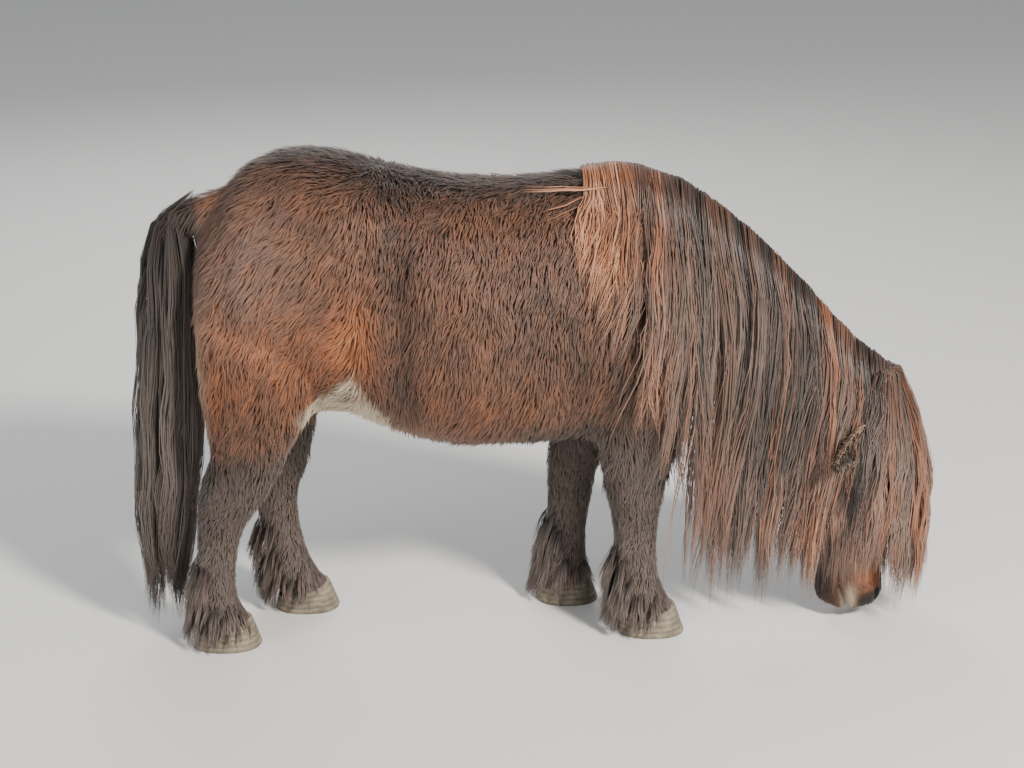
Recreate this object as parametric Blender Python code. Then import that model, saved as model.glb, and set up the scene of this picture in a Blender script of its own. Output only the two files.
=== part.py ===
"""Miniature Shetland pony, grazing: a still, life-size museum model in separate closed solids.

Metres, +Z up, +X towards the head, +Y towards the pony's left. The pony is modelled whole from
lofts, smoothed into one body, then parted with thin plane cuts. The solids are the outline of the
winter coat, and the mane, forelock, tail and leg feather are tapered locks fused to what they grow
from.
"""

import math

import bmesh
import bpy
import numpy as np
from mathutils import Matrix, Vector
from mathutils.bvhtree import BVHTree

# Driving sizes
WITHERS_HEIGHT = 0.80  # the lofts below are drawn for this height, and scale with it
DRAWN_HEIGHT = 0.80
GAP = 0.0003  # between nodes that touch
FRAME_SHIFT = (-0.1785, 0.0, 0.0)  # puts the origin on the floor at the middle of the box
VOXEL = 0.006
TRIANGLES = {"torso": 1100, "neck": 480, "head": 900, "tail": 140, "leg": 330}
DRAPING_TRIANGLES = 9000
SEED = 7

# Stations of the lofts. Each row is: front or top point (x, z), back or bottom point (x, z),
# half width, sideways centre, egg (how much narrower the front or top is), squareness.
TORSO = (
    (-0.374, 0.640, -0.374, 0.520, 0.045, 0.0, 0.0, 2.0),
    (-0.366, 0.690, -0.370, 0.470, 0.085, 0.0, 0.0, 2.0),
    (-0.340, 0.750, -0.352, 0.430, 0.120, 0.0, 0.0, 2.1),
    (-0.290, 0.806, -0.300, 0.400, 0.148, 0.0, 0.0, 2.2),
    (-0.235, 0.832, -0.240, 0.395, 0.166, 0.0, 0.0, 2.2),
    (-0.175, 0.840, -0.175, 0.405, 0.179, 0.0, 0.02, 2.2),
    (-0.100, 0.828, -0.110, 0.398, 0.190, 0.0, 0.05, 2.2),
    (-0.020, 0.808, -0.030, 0.365, 0.200, 0.0, 0.08, 2.2),
    (0.070, 0.796, 0.060, 0.346, 0.207, 0.0, 0.10, 2.15),
    (0.160, 0.794, 0.150, 0.344, 0.203, 0.0, 0.10, 2.1),
    (0.240, 0.802, 0.240, 0.348, 0.190, 0.0, 0.10, 2.1),
    (0.310, 0.800, 0.325, 0.354, 0.172, 0.0, 0.12, 2.1),
    (0.375, 0.775, 0.395, 0.362, 0.152, 0.0, 0.15, 2.1),
    (0.420, 0.730, 0.445, 0.390, 0.126, 0.0, 0.15, 2.1),
    (0.455, 0.660, 0.475, 0.430, 0.090, 0.0, 0.10, 2.0),
    (0.472, 0.600, 0.482, 0.490, 0.045, 0.0, 0.0, 2.0),
)
NECK = (
    (0.270, 0.785, 0.400, 0.380, 0.120, 0.0, 0.25, 2.0),
    (0.345, 0.778, 0.455, 0.395, 0.122, 0.0, 0.30, 2.0),
    (0.420, 0.748, 0.500, 0.402, 0.106, 0.0, 0.34, 2.0),
    (0.492, 0.697, 0.545, 0.397, 0.092, -0.002, 0.36, 2.0),
    (0.560, 0.636, 0.586, 0.383, 0.082, -0.006, 0.36, 2.0),
    (0.622, 0.572, 0.620, 0.366, 0.075, -0.010, 0.34, 2.0),
    (0.682, 0.504, 0.642, 0.352, 0.070, -0.014, 0.30, 2.0),
    (0.738, 0.446, 0.655, 0.335, 0.064, -0.018, 0.22, 2.0),
    (0.772, 0.405, 0.672, 0.322, 0.052, -0.020, 0.10, 2.0),
)
HEAD = (
    (0.782, 0.424, 0.726, 0.416, 0.026, -0.019, 0.0, 2.0),
    (0.806, 0.402, 0.690, 0.392, 0.052, -0.020, 0.0, 2.1),
    (0.820, 0.366, 0.656, 0.350, 0.064, -0.022, 0.0, 2.2),
    (0.826, 0.322, 0.640, 0.310, 0.070, -0.024, -0.06, 2.3),
    (0.824, 0.276, 0.640, 0.266, 0.070, -0.026, -0.14, 2.3),
    (0.816, 0.228, 0.650, 0.222, 0.061, -0.028, -0.12, 2.3),
    (0.806, 0.182, 0.668, 0.180, 0.050, -0.030, -0.02, 2.2),
    (0.798, 0.138, 0.680, 0.138, 0.043, -0.032, 0.06, 2.2),
    (0.796, 0.098, 0.684, 0.096, 0.042, -0.033, 0.04, 2.2),
    (0.799, 0.062, 0.678, 0.058, 0.045, -0.034, -0.04, 2.2),
    (0.794, 0.034, 0.684, 0.032, 0.041, -0.034, -0.06, 2.2),
    (0.776, 0.018, 0.702, 0.018, 0.028, -0.034, 0.0, 2.1),
)
HIND_RIGHT = (
    (-0.150, 0.610, -0.345, 0.640, 0.050, -0.080, 0.0, 2.0),
    (-0.132, 0.545, -0.364, 0.570, 0.078, -0.092, 0.0, 2.1),
    (-0.140, 0.490, -0.368, 0.490, 0.080, -0.098, 0.0, 2.1),
    (-0.180, 0.430, -0.362, 0.420, 0.070, -0.098, 0.0, 2.1),
    (-0.216, 0.372, -0.358, 0.362, 0.056, -0.093, 0.0, 2.1),
    (-0.242, 0.318, -0.372, 0.318, 0.044, -0.086, 0.0, 2.1),
    (-0.270, 0.268, -0.384, 0.278, 0.037, -0.080, 0.0, 2.1),
    (-0.302, 0.222, -0.388, 0.228, 0.032, -0.076, 0.0, 2.1),
    (-0.318, 0.170, -0.392, 0.172, 0.028, -0.073, 0.0, 2.1),
    (-0.325, 0.122, -0.398, 0.120, 0.029, -0.070, 0.0, 2.1),
    (-0.322, 0.082, -0.402, 0.074, 0.034, -0.068, 0.0, 2.1),
    (-0.306, 0.046, -0.396, 0.034, 0.038, -0.066, 0.0, 2.1),
    (-0.296, 0.020, -0.392, 0.010, 0.037, -0.065, 0.0, 2.1),
)
HIND_LEFT = (
    (-0.150, 0.610, -0.345, 0.640, 0.050, 0.080, 0.0, 2.0),
    (-0.128, 0.545, -0.360, 0.570, 0.078, 0.092, 0.0, 2.1),
    (-0.128, 0.490, -0.362, 0.490, 0.080, 0.098, 0.0, 2.1),
    (-0.152, 0.430, -0.350, 0.420, 0.070, 0.098, 0.0, 2.1),
    (-0.176, 0.372, -0.332, 0.362, 0.056, 0.093, 0.0, 2.1),
    (-0.190, 0.318, -0.322, 0.312, 0.044, 0.086, 0.0, 2.1),
    (-0.204, 0.264, -0.318, 0.268, 0.037, 0.080, 0.0, 2.1),
    (-0.222, 0.216, -0.308, 0.218, 0.032, 0.076, 0.0, 2.1),
    (-0.222, 0.164, -0.296, 0.164, 0.028, 0.073, 0.0, 2.1),
    (-0.214, 0.118, -0.288, 0.114, 0.029, 0.070, 0.0, 2.1),
    (-0.200, 0.080, -0.280, 0.070, 0.034, 0.068, 0.0, 2.1),
    (-0.178, 0.046, -0.268, 0.032, 0.038, 0.066, 0.0, 2.1),
    (-0.166, 0.020, -0.262, 0.010, 0.037, 0.065, 0.0, 2.1),
)
FORE_RIGHT = (
    (0.425, 0.560, 0.255, 0.560, 0.046, -0.092, 0.0, 2.0),
    (0.446, 0.490, 0.250, 0.480, 0.062, -0.098, 0.0, 2.1),
    (0.442, 0.420, 0.262, 0.410, 0.060, -0.096, 0.0, 2.1),
    (0.426, 0.356, 0.276, 0.350, 0.050, -0.090, 0.0, 2.1),
    (0.404, 0.300, 0.290, 0.298, 0.041, -0.084, 0.0, 2.1),
    (0.397, 0.252, 0.300, 0.250, 0.037, -0.080, 0.0, 2.1),
    (0.392, 0.204, 0.309, 0.200, 0.031, -0.076, 0.0, 2.1),
    (0.391, 0.152, 0.314, 0.148, 0.029, -0.072, 0.0, 2.1),
    (0.396, 0.108, 0.314, 0.102, 0.032, -0.070, 0.0, 2.1),
    (0.408, 0.074, 0.316, 0.064, 0.037, -0.068, 0.0, 2.1),
    (0.424, 0.044, 0.326, 0.032, 0.040, -0.066, 0.0, 2.1),
    (0.432, 0.020, 0.332, 0.010, 0.039, -0.065, 0.0, 2.1),
)
FORE_LEFT = (
    (0.405, 0.560, 0.245, 0.560, 0.046, 0.092, 0.0, 2.0),
    (0.412, 0.490, 0.232, 0.480, 0.062, 0.098, 0.0, 2.1),
    (0.392, 0.420, 0.226, 0.410, 0.060, 0.096, 0.0, 2.1),
    (0.358, 0.356, 0.222, 0.350, 0.050, 0.090, 0.0, 2.1),
    (0.324, 0.300, 0.216, 0.298, 0.041, 0.084, 0.0, 2.1),
    (0.308, 0.252, 0.212, 0.250, 0.037, 0.080, 0.0, 2.1),
    (0.299, 0.204, 0.212, 0.200, 0.031, 0.076, 0.0, 2.1),
    (0.289, 0.152, 0.210, 0.148, 0.029, 0.072, 0.0, 2.1),
    (0.286, 0.108, 0.203, 0.102, 0.032, 0.070, 0.0, 2.1),
    (0.288, 0.074, 0.197, 0.064, 0.037, 0.068, 0.0, 2.1),
    (0.292, 0.044, 0.196, 0.032, 0.040, 0.066, 0.0, 2.1),
    (0.294, 0.020, 0.196, 0.010, 0.039, 0.065, 0.0, 2.1),
)
DOCK = (
    (-0.290, 0.795, -0.310, 0.725, 0.034, 0.0, 0.0, 2.0),
    (-0.345, 0.778, -0.345, 0.712, 0.034, 0.0, 0.0, 2.0),
    (-0.392, 0.762, -0.380, 0.700, 0.036, 0.0, 0.0, 2.0),
    (-0.430, 0.735, -0.394, 0.676, 0.036, 0.0, 0.0, 2.0),
    (-0.450, 0.690, -0.400, 0.640, 0.034, 0.0, 0.0, 2.0),
    (-0.456, 0.620, -0.408, 0.590, 0.028, 0.0, 0.0, 2.0),
    (-0.450, 0.550, -0.418, 0.540, 0.016, 0.0, 0.0, 2.0),
)
BODY_LOFTS = (TORSO, NECK, HEAD, HIND_RIGHT, HIND_LEFT, FORE_RIGHT, FORE_LEFT, DOCK)
RING_POINTS = 32
RINGS_BETWEEN = 4

# Cuts between nodes: a point on the plane and its normal
NECK_CUT = ((0.36, 0.0, 0.596), (0.928, 0.0, 0.373))
HEAD_CUT = ((0.690, 0.0, 0.408), (0.796, 0.0, -0.605))
LEG_CUT_HEIGHT = 0.338
DOCK_CUT = ((-0.379, 0.0, 0.720), (-1.0, 0.0, 0.0))


# Hooves: top front (x, z), top back (x, z), top half width, toe x, heel x, sole half width, y
HOOVES = {
    "hoof_fore_right": (0.424, 0.047, 0.328, 0.027, 0.037, 0.441, 0.324, 0.045, -0.066),
    "hoof_fore_left": (0.289, 0.047, 0.197, 0.027, 0.037, 0.306, 0.193, 0.045, 0.066),
    "hoof_hind_right": (-0.305, 0.047, -0.397, 0.027, 0.035, -0.290, -0.407, 0.042, -0.066),
    "hoof_hind_left": (-0.177, 0.047, -0.268, 0.027, 0.035, -0.160, -0.274, 0.042, 0.066),
}
LEGS = {
    "leg_fore_right": "hoof_fore_right",
    "leg_fore_left": "hoof_fore_left",
    "leg_hind_right": "hoof_hind_right",
    "leg_hind_left": "hoof_hind_left",
}
EYE_RADIUS = 0.0165
EYE_PLACE = (0.776, 0.058, 0.292)  # x, distance from the middle of the head, z
HEAD_MIDDLE = -0.022  # the head is turned slightly to the right
EAR_BASE = (0.768, 0.052, 0.382)  # x, distance from the middle of the head, z
EAR_TIP = (0.672, 0.120, 0.328)
NOSTRIL = (0.781, 0.030, 0.050)
MOUTH_FRONT = (0.739, -0.010)  # x, z of the slot between the lips
MOUTH_CORNER = (0.713, 0.072)
MOUTH_SLOT = (0.0028, 0.052)  # thickness, and reach to each side


def smooth_rows(rows, between):
    """Catmull-Rom rows through the stations, with this many steps from each to the next."""
    rows = np.array(rows, float)
    before = np.vstack([2 * rows[0] - rows[1], rows, 2 * rows[-1] - rows[-2]])
    out = []
    for i in range(1, len(rows)):
        a, b, c, d = before[i - 1], before[i], before[i + 1], before[i + 2]
        for t in np.arange(between) / between:
            out.append(
                0.5
                * (
                    2 * b
                    + (c - a) * t
                    + (2 * a - 5 * b + 4 * c - d) * t**2
                    + (3 * b - a - 3 * c + d) * t**3
                )
            )
    out.append(rows[-1])
    return np.array(out)


def ring(row, points):
    """A closed ring across the body: a superellipse from the back point to the front point."""
    front_x, front_z, back_x, back_z, half_width, centre_y, egg, square = row
    turn = np.arange(points) / points * math.tau
    along = np.sign(np.sin(turn)) * np.abs(np.sin(turn)) ** (2 / square)
    across = np.sign(np.cos(turn)) * np.abs(np.cos(turn)) ** (2 / square)
    return np.stack(
        [
            (front_x + back_x) / 2 + (front_x - back_x) / 2 * along,
            centre_y + half_width * across * (1 - egg * along),
            (front_z + back_z) / 2 + (front_z - back_z) / 2 * along,
        ],
        axis=1,
    )


def tube_mesh(name, rings):
    """A closed mesh through rings of equal length, facing out."""
    count, around = rings.shape[:2]
    faces = []
    for i in range(count - 1):
        for j in range(around):
            k = (j + 1) % around
            here, after = i * around, (i + 1) * around
            faces += [(here + j, here + k, after + k), (here + j, after + k, after + j)]
    faces.append(tuple(range(around))[::-1])
    faces.append(tuple((count - 1) * around + j for j in range(around)))
    mesh = bpy.data.meshes.new(name)
    mesh.from_pydata(rings.reshape(-1, 3).tolist(), [], faces)
    face_out(mesh)
    return mesh


def face_out(mesh):
    """Turns the mesh into triangles that all face out."""
    work = bmesh.new()
    work.from_mesh(mesh)
    bmesh.ops.triangulate(work, faces=work.faces)
    bmesh.ops.recalc_face_normals(work, faces=work.faces)
    work.to_mesh(mesh)
    work.free()


def add_object(name, mesh):
    obj = bpy.data.objects.new(name, mesh)
    bpy.context.scene.collection.objects.link(obj)
    return obj


def evaluated_copy(obj, name):
    """A mesh of the object with its modifiers applied."""
    bpy.context.view_layer.update()
    graph = bpy.context.evaluated_depsgraph_get()
    mesh = bpy.data.meshes.new_from_object(obj.evaluated_get(graph))
    mesh.name = name
    return mesh


def drop(*objects):
    for obj in objects:
        bpy.data.objects.remove(obj)


def whole_body():
    """Every loft run together, remeshed as one skin and smoothed where legs and neck join."""
    work = bmesh.new()
    for rows in BODY_LOFTS:
        rings = np.array([ring(row, RING_POINTS) for row in smooth_rows(rows, RINGS_BETWEEN)])
        work.from_mesh(tube_mesh("loft", rings))
    mesh = bpy.data.meshes.new("whole")
    work.to_mesh(mesh)
    work.free()
    obj = add_object("whole", mesh)
    remesh = obj.modifiers.new("Remesh", "REMESH")
    remesh.mode = "VOXEL"
    remesh.voxel_size = VOXEL
    smooth = obj.modifiers.new("Smooth", "SMOOTH")
    smooth.factor = 0.5
    smooth.iterations = 12
    skin = evaluated_copy(obj, "whole_skin")
    drop(obj)
    return skin


def thinned(mesh, name, triangles):
    """A copy of the mesh brought down to about this many triangles."""
    obj = add_object(name, mesh.copy())
    decimate = obj.modifiers.new("Decimate", "DECIMATE")
    decimate.ratio = triangles / sum(len(face.vertices) - 2 for face in mesh.polygons)
    decimate.use_collapse_triangulate = True
    made = evaluated_copy(obj, name)
    drop(obj)
    return made


def sliced(mesh, name, cuts):
    """A copy of the mesh kept on the inner side of each cut, closed again with flat caps."""
    work = bmesh.new()
    work.from_mesh(mesh)
    for point, normal in cuts:
        geometry = work.verts[:] + work.edges[:] + work.faces[:]
        bmesh.ops.bisect_plane(
            work, geom=geometry, plane_co=point, plane_no=normal, clear_outer=True
        )
        rim = [edge for edge in work.edges if edge.is_boundary]
        bmesh.ops.holes_fill(work, edges=rim, sides=0)
    bmesh.ops.triangulate(work, faces=[face for face in work.faces if len(face.verts) > 4])
    made = bpy.data.meshes.new(name)
    work.to_mesh(made)
    work.free()
    return made


def side_of(cut, forwards):
    """One side of a cut, half a gap away from it."""
    point, normal = Vector(cut[0]), Vector(cut[1]).normalized()
    if forwards:
        return point + normal * GAP / 2, -normal
    return point - normal * GAP / 2, normal


def node_mesh(mesh, name, cuts, triangles):
    """The largest piece of the mesh inside the cuts, thinned, with its cut faces kept flat."""
    made = thinned(pieces_of(sliced(mesh, name, cuts))[0], name, triangles)
    for vert in made.vertices:
        for point, normal in cuts:
            off = (vert.co - Vector(point)).dot(Vector(normal))
            if abs(off) < GAP:
                vert.co -= Vector(normal) * off
    return made


def pieces_of(mesh):
    """The separate closed surfaces of a mesh in triangles, each as a mesh, largest volume first."""
    mesh.calc_loop_triangles()
    points = np.empty(len(mesh.vertices) * 3, np.float32)
    faces = np.empty(len(mesh.loop_triangles) * 3, np.int32)
    mesh.vertices.foreach_get("co", points)
    mesh.loop_triangles.foreach_get("vertices", faces)
    points, faces = points.reshape(-1, 3), faces.reshape(-1, 3)
    edges = np.sort(faces[:, [0, 1, 1, 2, 2, 0]].reshape(-1, 2), axis=1)
    edge = np.unique(edges, axis=0, return_inverse=True)[1].reshape(-1, 3)
    label = np.arange(len(faces))
    while True:
        lowest = np.full(edge.max() + 1, len(faces))
        np.minimum.at(lowest, edge, label[:, None])
        reached = lowest[edge].min(axis=1)
        if np.array_equal(reached, label):
            break
        label = reached[reached]
    pieces = []
    for piece in np.unique(label):
        own = faces[label == piece]
        corners = points[own].astype(float)
        volume = np.einsum("ij,ij->i", corners[:, 0], np.cross(corners[:, 1], corners[:, 2])).sum()
        used, index = np.unique(own, return_inverse=True)
        made = bpy.data.meshes.new("piece")
        made.from_pydata(points[used].tolist(), [], index.reshape(-1, 3).tolist())
        pieces.append((volume, made))
    pieces.sort(key=lambda item: -item[0])
    return [made for volume, made in pieces]


def combined(obj, others, operation, solver="MANIFOLD"):
    """Joins others to obj, or cuts them out of it, and keeps the largest closed surface."""
    group = bpy.data.collections.new("operands")
    bpy.context.scene.collection.children.link(group)
    for other in others:
        group.objects.link(other)
    boolean = obj.modifiers.new("Boolean", "BOOLEAN")
    boolean.operation = operation
    boolean.operand_type = "COLLECTION"
    boolean.collection = group
    boolean.solver = solver
    mesh = pieces_of(evaluated_copy(obj, obj.name))[0]
    obj.modifiers.remove(boolean)
    drop(*others)
    bpy.data.collections.remove(group)
    mesh.name = obj.name
    obj.data = mesh
    return obj


def sphere(name, centre, radii, segments=10, rings=6):
    work = bmesh.new()
    bmesh.ops.create_uvsphere(work, u_segments=segments, v_segments=rings, radius=1.0)
    bmesh.ops.scale(work, vec=radii, verts=work.verts)
    bmesh.ops.translate(work, vec=centre, verts=work.verts)
    mesh = bpy.data.meshes.new(name)
    work.to_mesh(mesh)
    work.free()
    face_out(mesh)
    return add_object(name, mesh)


def strand(name, path, widths, thickness, across):
    """A flat tapered lock along a path: a lens in section, a point at the tip.

    across is the direction of its width.
    """
    path = np.asarray(path, float)
    along = np.gradient(path, axis=0)
    along /= np.linalg.norm(along, axis=1)[:, None]
    across = np.asarray(across, float) - along * (along @ np.asarray(across, float))[:, None]
    across /= np.linalg.norm(across, axis=1)[:, None]
    up = np.cross(across, along)
    widths = np.asarray(widths)[:, None]
    thick = np.asarray(thickness)[:, None]
    sides = (path + across * widths / 2, path + up * thick / 2)
    rings = np.stack([sides[0], sides[1], 2 * path - sides[0], 2 * path - sides[1]], axis=1)
    count = len(path) - 1
    points = rings[:count].reshape(-1, 3).tolist() + [path[-1].tolist()]
    tip = len(points) - 1
    faces = [(3, 2, 1, 0)]
    for i in range(count):
        for j in range(4):
            here, after = i * 4 + j, i * 4 + (j + 1) % 4
            if i < count - 1:
                faces.append((here, after, after + 4, here + 4))
            else:
                faces.append((here, after, tip))
    mesh = bpy.data.meshes.new(name)
    mesh.from_pydata(points, [], faces)
    face_out(mesh)
    return add_object(name, mesh)


def draped(surface, points, outward, clear, across, halves, within=0.25):
    """Points laid against a surface, and the width of the lock with them.

    Each point is moved along outward until the lock there, half as wide as halves to each side,
    lies clear of the surface. Where the surface falls away under it the path hangs on straight.
    """
    outward, across = Vector(outward).normalized(), Vector(across)
    reach = None
    path = []
    for point, half in zip(points, halves):
        point = Vector(point)
        level = point.dot(outward)
        for side in (-half, 0.0, half):
            start = point + across * side + outward * within
            hit = surface.ray_cast(start, -outward, 2 * within)[0] if surface else None
            if hit is not None:
                level = max(hit.dot(outward) + clear, level)
        if surface:
            reach = level if reach is None else max(reach - 0.004, level)
        else:
            reach = level + clear
        path.append(tuple(point + outward * (reach - point.dot(outward))))
    return np.array(path)


def smoothed(path, times=1):
    path = np.array(path, float)
    for _ in range(times):
        path[1:-1] = (path[:-2] + 2 * path[1:-1] + path[2:]) / 4
    return path


def place_on(rows, place):
    """The front or top point of a loft at a fraction of its length."""
    rows = smooth_rows(rows, 8)
    row = rows[int(round(place * (len(rows) - 1)))]
    return row[0], row[5], row[1]


def tree_of(*meshes):
    """A search tree over several meshes."""
    points, faces = [], []
    for mesh in meshes:
        faces += [[corner + len(points) for corner in face.vertices] for face in mesh.polygons]
        points += [vert.co.copy() for vert in mesh.vertices]
    return BVHTree.FromPolygons(points, faces)


def hung_lock(name, start, line, width, thickness, outward, across, clear, surface, others,
              within=0.25):
    """A lock that starts at the points of start and hangs along line, laid over the surface.

    It is moved outwards until it is clear of the other nodes, and left out where it can't be.
    """
    steps = len(start) + len(line)
    s = np.linspace(0, 1, steps)
    widths = width * (0.75 + 0.35 * np.sin(s * math.pi)) * (1 - 0.8 * s**2.5)
    thick = thickness * (1 - 0.6 * s)
    for extra in np.arange(0, 0.036, 0.004):
        hang = draped(surface, line, outward, clear + extra, across, widths[len(start):] / 2, within)
        path = smoothed(np.vstack([start, hang]))
        lock = strand(name, path, widths, thick, across)
        room = strand("room", path, widths + 3 * GAP, thick + 3 * GAP, across)
        tree = tree_of(room.data)
        drop(room)
        if not any(tree.overlap(other) for other in others):
            return lock
        drop(lock)
    return None


# Mane, for each layer from the neck outwards: clear of the neck, locks, width, side it falls to
MANE_LAYERS = (
    (0.005, 9, 0.056, -1), (0.006, 6, 0.056, 1), (0.017, 11, 0.050, -1), (0.029, 13, 0.042, -1)
)
MANE_ROOTS_X = (0.28, 0.34, 0.40, 0.46, 0.54, 0.62, 0.72)
MANE_ENDS_X = (0.235, 0.31, 0.375, 0.455, 0.50, 0.565, 0.635)
MANE_ENDS_Z = (0.62, 0.52, 0.29, 0.135, 0.11, 0.10, 0.15)
# Over the forehead: clear of the face, locks, width. Over the cheeks: locks, width, side.
FORELOCK_LAYERS = ((0.006, 4, 0.052), (0.019, 6, 0.042))
FORELOCK_REACH = (0.114, 0.072)  # from the middle of the face to the front and to each side
CHEEK_LOCKS = ((6, 0.036, -1), (3, 0.038, 1))
TAIL_RINGS = ((0.45, 3, 0.064), (1.0, 13, 0.050))  # how far out, locks, width
# Height, middle x, half depth, half width of the hanging tail
TAIL_SHAPE = (
    (0.745, -0.412, 0.024, 0.026), (0.700, -0.425, 0.036, 0.036), (0.600, -0.432, 0.046, 0.048),
    (0.450, -0.438, 0.058, 0.056), (0.280, -0.447, 0.062, 0.060), (0.150, -0.455, 0.046, 0.048),
    (0.020, -0.462, 0.026, 0.030),
)
FEATHER_LOCKS = 7


def mane_locks(surface, others, rng):
    """Locks from the crest over the right side of the neck, hanging straight below it, and a
    shorter fringe on the left."""
    locks = []
    for clear, count, width, side in MANE_LAYERS:
        for i in range(count):
            x, y, z = place_on(NECK, 0.06 + 0.83 * (i + rng.uniform(0.3, 0.7)) / count)
            end_x = np.interp(x, MANE_ROOTS_X, MANE_ENDS_X) + rng.uniform(-0.015, 0.015)
            end_z = np.interp(x, MANE_ROOTS_X, MANE_ENDS_Z) + rng.uniform(0.0, 0.05)
            if side > 0:
                end_x, end_z = (x + end_x) / 2, z - rng.uniform(0.12, 0.18)
            s = np.linspace(0, 1, 7)[1:, None]
            top = np.array([x - 0.006, y + side * 0.022, z + 0.004 + clear])
            end = np.array([end_x, y + side * 0.022, end_z])
            bow = np.array([rng.uniform(0.004, 0.020) - (0.028 if x > 0.62 else 0.0), 0, 0])
            bow = bow * np.sin(s * math.pi)
            start = [(x - 0.012, y - side * 0.006, z - 0.034), (x, y + side * 0.002, z + 0.006 + clear)]
            if x > 0.62:
                width, clear = min(width, 0.034), min(clear, 0.016)
            locks.append(hung_lock("mane_lock", start, top + (end - top) * s + bow,
                                   width * rng.uniform(0.85, 1.1), 0.0105, (0, side, 0),
                                   (0.92, 0, -0.39), clear, surface, others))
    return [lock for lock in locks if lock is not None]


def forelock_locks(surface, others, rng):
    """A bell of locks from the poll, over the forehead and both sides of the face."""
    locks = []
    front, half = FORELOCK_REACH
    s = np.array([0.08, 0.24, 0.42, 0.62, 0.82, 1.0])[:, None]
    for count, width, side in CHEEK_LOCKS:
        for i in range(count):
            end = np.array([0.815 - 0.145 * (i + rng.uniform(0.7, 1.0)) / count,
                            -0.030 + side * 0.070, rng.uniform(0.06, 0.12)])
            top = np.array([0.812, -0.022 + side * 0.022, 0.402])
            line = top + (end - top) * np.hstack([s**1.15, s**0.5, s])
            locks.append(hung_lock("cheek_lock", [top + (-0.024, -side * 0.016, -0.012), top], line, width * rng.uniform(0.85, 1.1),
                                   0.010, (0.2, side, 0), (0.92, 0, -0.39), 0.005 + 0.001 * i,
                                   surface, others, 0.12))
    s = np.linspace(0, 1, 6)[1:, None]
    for clear, count, width in FORELOCK_LAYERS:
        for i in range(count):
            turn = -1.25 + 2.5 * (i + rng.uniform(0.35, 0.65)) / count
            outward = np.array([math.cos(turn), math.sin(turn), 0.0])
            top = np.array([0.800, -0.022, 0.412 + clear]) + outward * np.array([0.012, 0.026, 0])
            end = np.array([0.757, -0.030, rng.uniform(0.035, 0.08)])
            end += outward * np.array([front, half, 0]) * (0.86 + 7 * clear)
            line = top + (end - top) * np.hstack([s**0.8, s**0.8, s])
            root = top - outward * (0.022, 0.018, 0) - (0, 0, 0.024)
            locks.append(hung_lock("forelock_lock", [root, top], line, width * rng.uniform(0.85, 1.1),
                                   0.010, outward, (-outward[1], outward[0], 0), clear, surface,
                                   others, 0.12))
    return [lock for lock in locks if lock is not None]


def tail_locks(others, rng):
    """Locks from the dock, out behind it and then straight down to just above the floor."""
    locks = []
    shape = np.array(TAIL_SHAPE[::-1])
    for reach, count, width in TAIL_RINGS:
        for i in range(count):
            turn = math.tau * (i + rng.uniform(0.35, 0.65)) / count
            outward = np.array([math.cos(turn), math.sin(turn), 0.0])
            high = 0.742 if math.cos(turn) < 0.2 else 0.690
            low = rng.uniform(0.02, 0.10) if reach == 1 else rng.uniform(0.10, 0.20)
            z = high + (low - high) * np.linspace(0, 1, 7) ** 0.9
            middle, depth, half = (np.interp(z, shape[:, 0], shape[:, k]) for k in (1, 2, 3))
            line = np.stack([middle + outward[0] * depth * reach, outward[1] * half * reach, z], 1)
            root = [-0.412 - 0.25 * (0.742 - high), 0.0, high - 0.020]
            line[0] = line[0] * 0.6 + np.array([-0.412, 0.0, high + 0.006]) * 0.4
            line[1:] += rng.uniform(-0.004, 0.004, 3) * (1, 1, 0)
            locks.append(hung_lock("tail_lock", [root], line, width * rng.uniform(0.85, 1.15),
                                   0.015, (-1, 0, 0), (-outward[1], outward[0], 0), 0.0, None,
                                   others))
    return [lock for lock in locks if lock is not None]


def feather_locks(surface, others, hoof, rng):
    """Short locks round the back of the fetlock, ending just over the heel."""
    front_x, back_x, y = HOOVES[hoof][0], HOOVES[hoof][2], HOOVES[hoof][8]
    locks = []
    for i in range(FEATHER_LOCKS):
        turn = math.pi + 2.3 * (i / (FEATHER_LOCKS - 1) - 0.5)
        outward = np.array([math.cos(turn), math.sin(turn), 0.0])
        s = np.linspace(0, 1, 4)[1:, None]
        axis = np.array([(front_x + back_x) / 2 - 0.01, y, 0])
        top = axis + np.array([0, 0, 0.118]) + outward * 0.010
        end = axis + np.array([-0.008, 0, 0.014]) + outward * 0.052
        locks.append(hung_lock("feather_lock", [top], top + (end - top) * s,
                               0.026 * rng.uniform(0.9, 1.1), 0.008, outward,
                               (-outward[1], outward[0], 0), 0.005, surface, others, 0.08))
    return [lock for lock in locks if lock is not None]


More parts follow.
